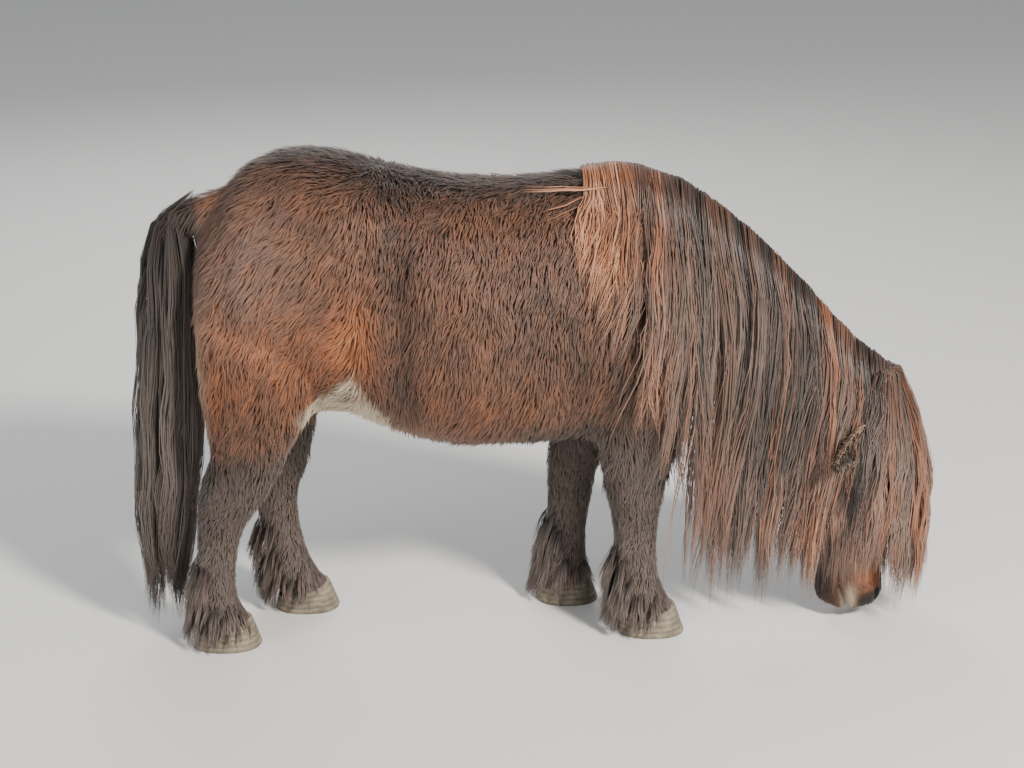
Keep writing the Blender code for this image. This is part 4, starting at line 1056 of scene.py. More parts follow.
def tufts(roots, normals, rng):
    """Path of each tuft: from just under the skin out along the normal, then over into the lie of
    the coat. Tufts within one cell share a turn and a lift and lean together."""
    lie, turn = lie_of_coat(roots)
    cell = np.floor((roots + 0.004 * rng.normal(size=roots.shape)) / CLUMP_CELL).astype(int)
    _, clump = np.unique(cell, axis=0, return_inverse=True)
    clump = clump.ravel()
    shared = rng.normal(size=(clump.max() + 1, 3))[clump]
    turn = turn + 0.15 * shared[:, 0] + 0.14 * rng.normal(size=len(roots))
    lie = laid(lie, normals)
    lie = lie * np.cos(turn)[:, None] + np.cross(normals, lie) * np.sin(turn)[:, None]
    lie[:, 2] -= 0.12
    lie = laid(lie, normals)
    length = hair_length(roots) * rng.uniform(0.72, 1.2, len(roots)) * (1 + 0.10 * shared[:, 1])
    rise = 0.32 + 0.60 * rng.uniform(0, 1, len(roots)) + 0.14 * shared[:, 2]
    rise = np.minimum(coat_depth(roots) * np.clip(rise, 0.22, 1.15), length * 0.75)
    run = np.sqrt(np.maximum(length**2 - rise**2, 1e-8))
    tip = roots + lie * run[:, None] + normals * rise[:, None]
    middle = np.stack([np.bincount(clump, tip[:, k]) for k in range(3)], 1) / np.bincount(clump)[:, None]
    tip += (middle[clump] - tip) * 0.16
    bend = roots + (tip - roots) * 0.40 + normals * (rise * 0.26)[:, None]
    return np.stack([roots - normals * 0.002, bend, tip], axis=1), length


class PONY_OT_coat(bpy.types.Operator):
    """Cover the skin with the tufts of the winter coat, in pieces by region"""

    bl_idname = "pony.coat"
    bl_label = "Coat"

    def execute(self, context):
        rng = np.random.default_rng(SEED)
        sizes = context.scene.pony_coat
        count = thinned(sizes.tufts)
        skin = bpy.data.objects.get("skin")
        if skin is None:
            raise RuntimeError("make the skin first")
        roots, normals = roots_on(skin.data, count, coat_density, rng)
        paths, length = tufts(roots, normals, rng)
        names, uv = regions(roots)
        warm, cream, grey = markings(paths)
        tone = rng.normal(0, 0.36, len(roots))
        clumps = 0.05 * ripple(roots, 0.03, 5) + 0.04 * ripple(roots, 0.012, 6)
        warm = warm + clumps[:, None]
        ratio = np.clip(length / sizes.barrel_hair, 0.35, 1.2)
        width = sizes.tuft_width * (0.45 + 0.55 * ratio) * rng.uniform(0.75, 1.25, len(roots))
        widths = width[:, None] * np.array([0.0, 1.0, 0.0])
        material = matt_winter_coat()
        for name in np.unique(names):
            own = names == name
            outward = np.repeat(normals[own][:, None], 3, axis=1)
            piece = hair_piece(
                "coat_" + str(name), paths[own], widths[own], widths[own] * TUFT_RIDGE, outward,
                {"warm": warm[own], "cream": cream[own], "grey": grey[own], "tone": tone[own]},
                fitted_uv(uv[own]), material, 0.80,
            )
        return {"FINISHED"}


# Mane, forelock, tail and feather

CELL = 0.008
MAP_START, MAP_CELLS = -0.55, (200, 130)  # x of the map's first cell, and cells in x and z
# Strands in a lock and steps along a strand
MANE_STRANDS, FRINGE_STRANDS, FORELOCK_STRANDS, TAIL_STRANDS = (42, 11), (14, 8), (38, 10), (34, 11)
FEATHER_LOCKS, FEATHER_STRANDS = 110, (9, 6)
# Two thin locks blown back over the withers, and the x and z of their ends
BLOWN_LOCKS, BLOWN_X, BLOWN_Z = (4, 8), (0.160, 0.180), (0.786, 0.744)
CREST_DROP = 0.012  # how far under the crest the mane's roots start


def side_map(skin, side):
    """How far the body reaches to one side, on a grid of x and z cells."""
    points, _, _ = read(skin)
    reach = np.zeros(MAP_CELLS)
    i = np.clip(((points[:, 0] - MAP_START) / CELL).astype(int), 0, MAP_CELLS[0] - 1)
    k = np.clip((points[:, 2] / CELL).astype(int), 0, MAP_CELLS[1] - 1)
    np.maximum.at(reach, (i, k), side * points[:, 1])
    for _ in range(2):
        around = [np.roll(reach, s, axis) for s in (-1, 1) for axis in (0, 1)]
        reach = np.maximum(reach, np.max(around, axis=0) - 0.004)
    return reach


def read_map(reach, x, z):
    """The map's value at each point, between cells."""
    i = np.clip((x - MAP_START) / CELL - 0.5, 0, MAP_CELLS[0] - 2.001)
    k = np.clip(z / CELL - 0.5, 0, MAP_CELLS[1] - 2.001)
    i0, k0 = i.astype(int), k.astype(int)
    a, b = i - i0, k - k0
    return (reach[i0, k0] * (1 - a) * (1 - b) + reach[i0 + 1, k0] * a * (1 - b)
            + reach[i0, k0 + 1] * (1 - a) * b + reach[i0 + 1, k0 + 1] * a * b)


def gather(locks, each, rng):
    """For every strand: its lock, and its place in the lock as two numbers within a circle."""
    lock = np.repeat(np.arange(locks), each)
    turn, far = rng.uniform(0, math.tau, len(lock)), np.sqrt(rng.uniform(0, 1, len(lock)))
    return lock, np.cos(turn) * far, np.sin(turn) * far


def per_lock(rng, lock, low, high):
    """A random value for each lock, as a column with its strands."""
    return rng.uniform(low, high, lock[-1] + 1)[lock][:, None]


def wave(s, phase, waves, height):
    """Waves along a strand that grow from its root to its tip."""
    return height * np.sin(math.tau * (s * waves + phase)) * s**0.7


def lock_wave(rng, lock, s, low, high, height):
    """A wave that the strands of a lock share."""
    return wave(s, per_lock(rng, lock, 0, 1), per_lock(rng, lock, low, high), height)


def strand_wave(rng, lock, s, high, height):
    """A wave of every strand's own."""
    column = (len(lock), 1)
    return wave(s, rng.uniform(0, 1, column), rng.uniform(2, high, column), height)


def strand_widths(count, s, width, rng):
    """Width along each strand: narrow root, widest at a third, fine point at the tip."""
    profile = (0.55 + 0.45 * np.sin(np.minimum(s * 1.5, 1) * math.pi / 2)) * (1 - 0.80 * s**3.0)
    return width * rng.uniform(0.55, 1.35, (count, 1)) * profile[None, :]


def strands(paths, widths, outward, warm, grey, tone, uv):
    """What cut_pieces needs of strands without cream."""
    fields = {"warm": np.clip(warm, 0, 1), "cream": np.zeros(len(paths)), "grey": grey, "tone": tone}
    return paths, widths, widths * STRAND_RIDGE, outward, fields, uv


def mane_ends(rng, side, root_x):
    """Where each lock of the mane ends, in x and z."""
    locks = len(root_x)
    crest, ends = np.array(CREST), np.array(MANE_ENDS)
    stray = rng.normal(0, 0.018, locks) * step(0.22, 0.36, root_x)
    end_x = np.interp(root_x, ends[:, 0], ends[:, 1]) + stray
    end_z = np.interp(root_x, ends[:, 0], ends[:, 2]) + rng.uniform(-0.02, 0.09, locks)
    if side > 0:
        end_x = (root_x + end_x) / 2
        end_z = np.interp(root_x, crest[:, 0], crest[:, 1]) - rng.uniform(0.12, 0.22, locks)
    else:
        end_x[list(BLOWN_LOCKS)], end_z[list(BLOWN_LOCKS)] = BLOWN_X, BLOWN_Z
    return end_x, end_z


def mane_colour(rng, lock, x0, lit_and_bleached, s, x, z):
    """Warmth and grey of the mane: hair on top of a lock is bleached and painted lighter as if lit,
    copper over the withers and at the ends, and hair deep in it is darker, partly as painted
    shade; over the throat and beside the jaw a painted shadow darkens it."""
    locks = lock[-1] + 1
    flat = np.stack([x, z], 2)
    copper = (step(0.41, 0.31, x0) * 0.36)[:, None] * (1 - 0.70 * step(0.69, 0.60, z))
    bleach = (0.4 + per_lock(rng, lock, 0, 1)) * step(0.45, 1.0, s)
    warm = (0.06 + rng.normal(0, 0.15, locks)[lock] + 0.34 * lit_and_bleached)[:, None] + copper + 0.30 * bleach
    # Painted shadow over the throat and on the cheek beside the jaw, under the ear.
    shaded = bell(flat, (0.565, 0.400), (0.075, 0.10))
    shaded += 1.6 * bell(flat, (0.712, 0.250), (0.026, 0.065))
    # Painted shade: darker in the shadow patches and on strands that lie deep in a lock.
    warm = (warm - 0.14 * shaded) * (0.35 + 0.65 * step(0.14, 0.42, lit_and_bleached))[:, None]
    # Grey on strands that lie on top, near the crest and over the upper neck: painted sheen.
    grey = 0.26 + (0.85 * lit_and_bleached * step(0.36, 0.46, x0))[:, None] * per_lock(rng, lock, 0.3, 1)
    grey = grey + 0.45 * (lit_and_bleached * step(0.44, 0.36, x0))[:, None] * step(0.70, 0.62, z)
    return warm, grey * (1.4 - 0.7 * step(0.15, 0.8, s)) * np.maximum(1 - 0.6 * shaded, 0)


def side_mane(skin, side, locks, each, steps, rng):
    """Strands rooted along the crest that rise off it, fall over to one side and hang down over
    the neck and shoulder: in side view each runs from its root to its end with a slight bow, and
    y is the furthest the body reaches at that height plus the strand's own layer."""
    hair = bpy.context.scene.pony_hair
    crest = np.array(CREST)
    lock, a, b = gather(locks, each, rng)
    count = len(lock)
    place = (np.arange(locks) + rng.uniform(0, 1, locks)) / locks
    root_x = np.interp(place, np.linspace(0, 1, len(crest)), crest[:, 0]) + rng.normal(0, 0.006, locks)
    layer = rng.uniform(0.0, 1.0, locks)
    end_x, end_z = mane_ends(rng, side, root_x)
    s = np.linspace(0, 1, steps) ** 1.40
    x0 = root_x[lock] + a * 0.012
    z0 = np.interp(x0, crest[:, 0], crest[:, 1]) - CREST_DROP
    blown = np.isin(lock, BLOWN_LOCKS) & (side < 0)
    stray = (rng.uniform(0, 1, count) < 0.12) * rng.normal(0, 0.020, count)
    x1 = end_x[lock] + stray * ~blown
    z1 = end_z[lock] + rng.normal(0, 0.014, count) * np.where(blown, 0.15, 1)
    z1 = z1 + (z0 - z1) * 0.38 * rng.uniform(0, 1, count) ** 3
    # Most strands of the blown locks stay in the mane
    sunk = blown & (rng.uniform(0, 1, count) < 0.84)
    x1, z1 = np.where(sunk, 0.27 + 0.01 * a, x1), np.where(sunk, 0.64, z1)
    # The mane is thin just in front of the foreleg
    thin = rng.uniform(0, 1, count) < 0.8 * np.exp(-(((x1 - 0.424) / 0.026) ** 2))
    z1 = np.where(thin & (side < 0), np.maximum(z1, rng.uniform(0.34, 0.50, count)), z1)
    # Strands behind the poll swing back early and fall in a curve
    back = step(0.62, 0.72, x0)[:, None]
    way = mix(s**1.25, 1 - (1 - s) ** 3, back)
    bow = 0.012 * per_lock(rng, lock, -0.6, 1.8)
    x = x0[:, None] + (x1 - x0)[:, None] * way + bow * np.sin(s * math.pi)
    x += a[:, None] * (0.015 * (1 - 0.78 * s)) * s
    phase, waves = per_lock(rng, lock, 0, 1), per_lock(rng, lock, 1.2, 3.6)
    x += wave(s, phase, waves, per_lock(rng, lock, 0.002, 0.009))
    x += strand_wave(rng, lock, s, 6, 0.0030)
    z = z0[:, None] - (z0 - z1)[:, None] * s**1.28
    # Layers stand off the body by their own amounts, but rise off the crest nearly evenly
    narrow = 0.35 + 0.65 * step(0.25, 0.36, x0)
    share = 0.5 if side > 0 else 1.0
    clear = 0.006 + hair.mane_lift * layer[lock] ** 0.7 * (0.80 + 0.20 * b)
    clear = clear * narrow * (1 - 0.12 * back[:, 0]) * share
    even = (0.006 + 0.62 * hair.mane_lift) * narrow * share
    lift = clear[:, None] * (1 - 0.40 * s)
    rise = 0.25 * lift + 0.75 * even[:, None] * (1 - 0.40 * s) + CREST_DROP
    over = np.minimum(s * 6.0, 1.0) ** 0.8 * math.pi / 2
    z += rise * np.cos(over) * np.minimum(s * 45, 1)
    z[:, 0] -= 0.016
    reach = side_map(skin, side)
    level = np.empty_like(x)
    for k in range(steps):
        near = read_map(reach, x[:, k], z[:, k])
        level[:, k] = near if k == 0 else np.maximum(level[:, k - 1] - 0.006, near)
    y = side * (level * np.minimum(s * 7, 1) + lift * np.sin(over)) + b[:, None] * 0.007 * side
    y[:, 0] = side * b * 0.010
    y += 0.018 * np.exp(-((s / 0.09) ** 2))
    y += lock_wave(rng, lock, s, 1.5, 3.2, 0.005)
    outward = np.stack([np.zeros_like(x), side * np.sin(over) + 0 * x, np.cos(over) + 0 * x], 2)
    widths = strand_widths(count, s, hair.strand_width, rng)
    # Strands on top of a lock and on its outer side are bleached and painted as lit; deep ones are painted
    # in shade.
    lit_and_bleached = 0.45 * layer[lock] + 0.55 * (0.5 + 0.5 * b)
    warm, grey = mane_colour(rng, lock, x0, lit_and_bleached, s, x, z)
    tone = rng.normal(0, 0.34, count)
    uv = np.stack([x0, layer[lock]], 1)
    return strands(np.stack([x, y, z], 2), widths, outward, warm, grey, tone, uv)


def cut_pieces(name, data, count, material):
    """The strands as this many objects, in order along the crest or round the tail."""
    paths, widths, thickness, outward, fields, uv = data
    order = np.array_split(np.argsort(uv[:, 0], kind="stable"), count)
    for number, own in enumerate(order):
        piece = hair_piece(
            name if count == 1 else f"{name}_{number + 1}", paths[own], widths[own], thickness[own],
            outward[own], {key: value[own] for key, value in fields.items()}, fitted_uv(uv[own]), material,
        )


def coarse_hair():
    """The material of the long hair, made once."""
    return bpy.data.materials.get("coarse_mane_hair") or coarse_mane_hair()


class PONY_OT_mane(bpy.types.Operator):
    """Hang the mane over the right side of the neck, with a short fringe on the left"""

    bl_idname = "pony.mane"
    bl_label = "Mane"

    def execute(self, context):
        rng = np.random.default_rng(SEED + 1)
        skin = bpy.data.objects["skin"].data
        locks = context.scene.pony_hair.mane_locks
        each, steps = MANE_STRANDS
        cut_pieces("mane_right", side_mane(skin, -1, locks, thinned(each), steps, rng), 4,
                   coarse_hair())
        each, steps = FRINGE_STRANDS
        cut_pieces("mane_left", side_mane(skin, 1, locks // 2, thinned(each), steps, rng), 1,
                   coarse_hair())
        return {"FINISHED"}


POLL = (0.776, -0.021, 0.436)  # middle of the forelock's roots
FACE_MIDDLE = (0.752, -0.031)  # x and y of the middle of the forelock's ends


def forelock(rng, locks, each, steps):
    """A bell of strands from the poll over the face: an angle round the head, a way out that grows
    fast and then levels off as the strand falls, and ends in a ragged ring over the nostrils."""
    lock, a, b = gather(locks, each, rng)
    count = len(lock)
    turn = (np.arange(locks) + rng.uniform(0, 1, locks)) / locks * 3.9 - 2.05
    layer = rng.uniform(0, 1, locks)
    angle = turn[lock] + a * 0.07
    s = np.linspace(0, 1, steps) ** 1.35
    outward = np.stack([np.cos(angle), np.sin(angle), 0 * angle], 1)
    top = np.array(POLL) + outward * np.array([0.010, 0.022, 0])
    top = top + np.stack([a * 0.010, b * 0.012, 0 * a], 1)
    bottom = 0.045 + 0.055 * rng.uniform(0, 1, locks) + 0.050 * step(0.95, 1.3, np.abs(turn))
    reach = (0.72 + 0.30 * layer[lock])[:, None]
    end = np.array([*FACE_MIDDLE, 0.0]) + outward * np.array([0.122, 0.078, 0]) * reach
    end[:, 0] -= (0.020 * step(1.0, 1.7, np.abs(turn)))[lock]
    end[:, 2] = bottom[lock] + rng.normal(0, 0.018, count)
    way = 1 - (1 - s) ** 3.4
    brow = (0.024 * (0.5 + 0.5 * layer[lock]))[:, None] * np.exp(-(((s - 0.34) / 0.22) ** 2))
    x = top[:, 0, None] + (end - top)[:, 0, None] * way
    y = top[:, 1, None] + (end - top)[:, 1, None] * way + outward[:, 1, None] * brow
    rise = (0.024 + 0.022 * layer[lock])[:, None] * np.minimum(s * 30, 1) * (1 - s) ** 6
    z = top[:, 2, None] + (end - top)[:, 2, None] * s**1.12 + rise
    waves = [per_lock(rng, lock, 1.2, 3.0) for _ in range(2)]
    phase = [per_lock(rng, lock, 0, 1) for _ in range(2)]
    x += wave(s, phase[0], waves[0], 0.006)
    y += wave(s, phase[1], waves[1], 0.006)
    x += strand_wave(rng, lock, s, 5, 0.0025)
    x += (a * 0.011)[:, None] * s * -outward[:, 1, None]
    y += (a * 0.011)[:, None] * s * outward[:, 0, None]
    # The outer strands start at a whorl on top of the poll, the inner ones in the skin under it
    whorl = step(0.25, 0.8, layer[lock])
    x[:, 0] = mix(x[:, 0], 0.770 + 0.010 * a, whorl)
    y[:, 0] = mix(y[:, 0], POLL[1] + 0.012 * b, whorl)
    z[:, 0] += -0.034 + 0.052 * whorl
    widths = strand_widths(count, s, bpy.context.scene.pony_hair.strand_width, rng)
    # Deep strands are painted darker as shade, outer strands get grey as painted sheen, and a painted
    # shadow darkens the strands on the cheek under the ear.
    deep = step(0.45, 0.0, layer[lock] + 0.25 * b)
    shaded = bell(np.stack([x, z], 2), (0.716, 0.250), (0.024, 0.065)) * (y < -0.05)
    warm = (0.36 + rng.normal(0, 0.15, locks)[lock] - 0.30 * deep)[:, None] + 0.24 * s - 0.3 * shaded
    grey = (0.45 + 0.60 * per_lock(rng, lock, 0, 1) * (1 - deep)[:, None]) * (1.3 - 0.7 * s)
    grey = grey * (1 - 0.8 * shaded)
    tone = rng.normal(0, 0.30, count)
    outward = np.repeat(outward[:, None], steps, 1)
    uv = np.stack([angle, layer[lock]], 1)
    return strands(np.stack([x, y, z], 2), widths, outward, warm, grey, tone, uv)


class PONY_OT_forelock(bpy.types.Operator):
    """Let the forelock fall over the face and cheeks"""

    bl_idname = "pony.forelock"
    bl_label = "Forelock"

    def execute(self, context):
        rng = np.random.default_rng(SEED + 2)
        each, steps = FORELOCK_STRANDS
        data = forelock(rng, context.scene.pony_hair.forelock_locks, thinned(each), steps)
        cut_pieces("forelock", data, 1, coarse_hair())
        return {"FINISHED"}


def tail(rng, locks, each, steps):
    """Strands from along the dock that bend over backwards and hang: at each height the strand's
    angle and distance from the middle line give x and y from the tail's width and depth there."""
    shape = np.array(TAIL_SHAPE[::-1])
    lock, a, b = gather(locks, each, rng)
    count = len(lock)
    turn = rng.uniform(0, math.tau, locks)
    far = np.sqrt((np.arange(locks) + 0.5) / locks)
    low = rng.uniform(0.008, 0.17, locks) * (1.1 - 0.5 * far)
    high = rng.uniform(0.60, 0.772, locks)
    s = np.linspace(0, 1, steps) ** 1.2
    z0 = high[lock] + a * 0.006
    z1 = np.maximum(low[lock] + rng.uniform(-0.01, 0.05, count), 0.006)
    z = z0[:, None] + (z1 - z0)[:, None] * s**1.02
    middle, depth, half = (np.interp(z, shape[:, 0], shape[:, k]) for k in (1, 2, 3))
    out = far[lock][:, None] * np.minimum(s * 5.0 + 0.30, 1.0) + 0.13 * a[:, None] * (1 - 0.4 * s)
    angle = turn[lock][:, None] + 0.25 * b[:, None] + 0 * z
    x = middle + np.cos(angle) * depth * out
    y = np.sin(angle) * half * out + 0.006 * b[:, None]
    x += lock_wave(rng, lock, s, 1.5, 3.5, 0.007)
    y += lock_wave(rng, lock, s, 1.5, 3.5, 0.007)
    x += strand_wave(rng, lock, s, 6, 0.003)
    y += strand_wave(rng, lock, s, 6, 0.003)
    z = z + np.exp(-((s - 0.05) / 0.06) ** 2) * 0.012
    x[:, 0] = np.interp(z0, (0.56, 0.69, 0.745, 0.772), (-0.428, -0.420, -0.390, -0.362))
    y[:, 0] = b * 0.010
    outward = unit(np.stack([np.cos(angle) * out - 0.2, np.sin(angle) * out, 0 * x], 2))
    widths = strand_widths(count, s, bpy.context.scene.pony_hair.strand_width * 1.05, rng)
    warm = 0.06 + 0.17 * step(0.40, 0.95, s) * per_lock(rng, lock, 0, 1)
    warm = warm + 0.14 * per_lock(rng, lock, 0, 1) ** 2
    # Greyer at the top of the tail, where the light falls: painted sheen.
    grey = (0.45 + 0.75 * per_lock(rng, lock, 0, 1)) * (1.5 - 1.35 * s)
    tone = rng.normal(0, 0.25, count)
    uv = np.stack([angle[:, 0] % math.tau, z0], 1)
    return strands(np.stack([x, y, z], 2), widths, outward, warm, grey, tone, uv)


class PONY_OT_tail(bpy.types.Operator):
    """Hang the tail from the dock"""

    bl_idname = "pony.tail"
    bl_label = "Tail"

    def execute(self, context):
        rng = np.random.default_rng(SEED + 3)
        each, steps = TAIL_STRANDS
        data = tail(rng, context.scene.pony_hair.tail_locks, thinned(each), steps)
        cut_pieces("tail_hair", data, 2, coarse_hair())
        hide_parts("tail")
        return {"FINISHED"}


def feather(name, rng, locks, each, steps):
    """Strands round the back and sides of a fetlock that fall over the heel and coronet."""
    lock, a, _ = gather(locks, each, rng)
    count = len(lock)
    turn = math.pi + np.clip(rng.normal(0, 1.15, locks), -2.7, 2.7)
    back = np.abs(turn - math.pi)
    angle = turn[lock] + a * 0.12
    z0 = (0.048 + rng.uniform(0, 1, locks) * np.where(back < 1.3, 0.125, 0.040))[lock] + a * 0.004
    centre_x, centre_y, depth, half = (value[:, None] for value in leg_at(name, z0))
    s = np.linspace(0, 1, steps)
    cos, sin = np.cos(angle)[:, None], np.sin(angle)[:, None]
    fall = (0.034 + 0.050 * step(1.9, 0.4, back) * rng.uniform(0.6, 1.1, locks))[lock]
    z1 = np.maximum(z0 - fall * rng.uniform(0.8, 1.15, count), 0.006 + 0.012 * rng.uniform(0, 1, count))
    flare = (0.010 + 0.016 * rng.uniform(0.3, 1.0, count))[:, None] * s**0.75
    # The roots are a tenth under the outline of the leg
    x = centre_x + cos * depth * 0.90 + cos * flare - 0.004 * s
    y = centre_y + sin * half * 0.90 + sin * flare
    z = z0[:, None] + (z1 - z0)[:, None] * s**1.05
    x += wave(s, per_lock(rng, lock, 0, 1), 1.0, 0.002)
    outward = np.repeat(np.stack([cos, sin, 0 * cos], 2), steps, 1)
    widths = strand_widths(count, s, bpy.context.scene.pony_hair.strand_width * 0.9, rng)
    warm = 0.12 + 0.18 * per_lock(rng, lock, 0, 1) ** 2 + 0.10 * s
    grey = 0.4 + 0.5 * rng.uniform(0, 1, count)
    tone = rng.normal(0, 0.22, count)
    return strands(np.stack([x, y, z], 2), widths, outward, warm, grey, tone, np.stack([angle, z0], 1))


class PONY_OT_feather(bpy.types.Operator):
    """Grow the feather round each fetlock"""

    bl_idname = "pony.feather"
    bl_label = "Feather"

    def execute(self, context):
        each, steps = FEATHER_STRANDS
        for number, name in enumerate(LEG_PATHS):
            rng = np.random.default_rng(SEED + 10 + number)
            data = feather(name, rng, FEATHER_LOCKS, thinned(each), steps)
            cut_pieces("feather_" + name, data, 1, coarse_hair())
        return {"FINISHED"}


# Ears, eyes and hooves

# Place along the ear, half width, depth of the back, depth of the cup
EAR_ROWS = (
    (-0.10, 0.014, 0.013, -0.013), (0.08, 0.016, 0.015, -0.012), (0.22, 0.021, 0.018, -0.002),
    (0.38, 0.025, 0.019, 0.012), (0.58, 0.025, 0.017, 0.013), (0.76, 0.019, 0.014, 0.010),
    (0.90, 0.010, 0.009, 0.006), (1.00, 0.002, 0.002, 0.001),
)
EAR_STEPS, EAR_AROUND, EAR_TUFTS = 6, 28, 1500
LASHES, LID_WALL = 90, 0.0016
HOOF_ROWS, HOOF_AROUND = 30, 56


def ear_frame(side):
    """The ear's base and tip, its axis, the way its cup opens, and the way across."""
    base = np.array([EAR_BASE[0], HEAD_MIDDLE + side * EAR_BASE[1], EAR_BASE[2]])
    tip = np.array([EAR_TIP[0], HEAD_MIDDLE + side * EAR_TIP[1], EAR_TIP[2]])
    axis = unit(tip - base)
    opening = np.array([0.15, side * 1.0, -0.25])
    opening = unit(opening - axis * (opening @ axis))
    return base, tip, axis, opening, np.cross(axis, opening)


def ear_points(side):
    """A cupped leaf: across follows a cosine, the back bulges by a sine and the front sinks into
    the cup by another, each sized by its place along the ear."""
    base, tip, axis, opening, wide = ear_frame(side)
    rows = smooth_rows(EAR_ROWS, EAR_STEPS, held=True)
    turn = (np.arange(EAR_AROUND) / EAR_AROUND * math.tau)[None, :]
    place, half, back, cup = (rows[:, k, None] for k in range(4))
    across = np.cos(turn) * half
    deep = -np.sin(turn) * np.where(np.sin(turn) > 0, back, -cup)
    deep = deep + 0.0022 * (np.abs(np.cos(turn)) > 0.9) * step(0.2, 0.4, place)
    centre = base + axis * place[..., None] * np.linalg.norm(tip - base)
    return centre + wide * across[..., None] + opening * deep[..., None], rows, turn


class PONY_OT_ears(bpy.types.Operator):
    """Make both ears: the shell, its coat and the long hair in the cup"""

    bl_idname = "pony.ears"
    bl_label = "Ears"

    def execute(self, context):
        rng = np.random.default_rng(SEED + 4)
        for side, where in ((-1, "right"), (1, "left")):
            points, rows, turn = ear_points(side)
            mesh = new_mesh("ear_shell_" + where, points, tube_faces(len(points), points.shape[1]))
            spots, normals, _ = read(mesh)
            place = np.repeat(rows[:, 0], points.shape[1])
            # The cup is nearly black: partly its bare dark skin, partly painted shade in the hollow.
            inside = np.tile(np.sin(turn[0]) < 0, len(rows)) * step(0.2, 0.36, place)
            rim = np.tile(np.abs(np.cos(turn[0])) ** 6, len(rows)) * step(0.2, 0.4, place)
            warm = 0.34 - 0.34 * inside + 0.20 * rim
            set_fields(mesh, {"warm": warm, "cream": 0.22 * rim, "grey": 0.3 * rim, "tone": 0 * warm,
                              "along": 0.4 - 0.3 * inside, "bare": 0.6 * inside})
            shell = add_piece("ear_shell_" + where, mesh, bpy.data.materials["skin_under_coat"])
            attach(shell, "root")
            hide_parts("ear_" + where)
            self.coat(side, where, spots, normals, place, inside, rim, turn, rng)
        return {"FINISHED"}

    def coat(self, side, where, spots, normals, place, inside, rim, turn, rng):
        """Short hair along the back of the ear and over its rim, and long hair across the cup."""
        _, _, axis, opening, _ = ear_frame(side)
        own = rng.choice(len(spots), thinned(EAR_TUFTS))
        roots = spots[own] + rng.normal(0, 0.0012, (len(own), 3))
        out = normals[own]
        cup = inside[own] > 0.5
        length = np.where(cup, rng.uniform(0.012, 0.024, len(own)), rng.uniform(0.007, 0.014, len(own)))
        lie = unit(axis + 0.28 * rng.normal(size=(len(own), 3)) + cup[:, None] * opening * 0.6)
        rise = np.where(cup, 0.25, 0.16)[:, None]
        tips = roots + (lie * (1 - rise) + out * rise) * length[:, None]
        bend = (roots + tips) / 2 + out * 0.0012
        paths = np.stack([roots - out * 0.001, bend, tips], 1)
        width = rng.uniform(0.0012, 0.0022, (len(own), 1)) * np.array([0, 1, 0])
        fluff = cup * step(0.50, 0.25, place[own])
        # Hair in the cup is nearly black as painted shade, and paler where it fluffs out near the base.
        warm = np.where(cup, 0.06, 0.34) + 0.34 * fluff + 0.16 * rim[own] + rng.normal(0, 0.05, len(own))
        uv = np.stack([np.tile(turn[0], len(spots) // len(turn[0]))[own], place[own]], 1)
        fields = {"warm": np.clip(warm, 0, 1), "cream": 0.20 * rim[own] + 0.3 * fluff,
                  "grey": 0.2 + 0.4 * fluff, "tone": rng.normal(0, 0.3, len(own))}
        piece = hair_piece(
            "ear_hair_" + where, paths, width, width * 0.35, np.repeat(out[:, None], 3, 1), fields,
            fitted_uv(uv), bpy.data.materials["matt_winter_coat"],
        )


def lid_points(upper):
    """A lid as a shell over the eyeball: v runs from its edge out to the brow or cheek and u from
    corner to corner. Its radius is the eyeball's plus a fold that fades outwards."""
    u = np.linspace(-1, 1, 25)[None, :]
    v = np.linspace(0, 1, 9)[:, None]
    sign = 1 if upper else -1
    edge = (0.58 if upper else -0.42) * (1 - u**2) ** 0.8 - 0.06
    outer = sign * 1.42 * np.sqrt(np.clip(1 - 0.80 * u**2, 0, 1))
    high = edge + (outer - edge) * v
    wide = u * (1.28 + 0.10 * v)
    radius = EYE_RADIUS * (1.055 + 0.06 * np.sin(v * math.pi) * (1 - u**2) - 0.10 * v**2)
    front = np.cos(np.clip(high, -1.5, 1.5)) * np.cos(wide)
    return np.stack([radius * np.cos(high) * np.sin(wide), radius * front, radius * np.sin(high)], 2)


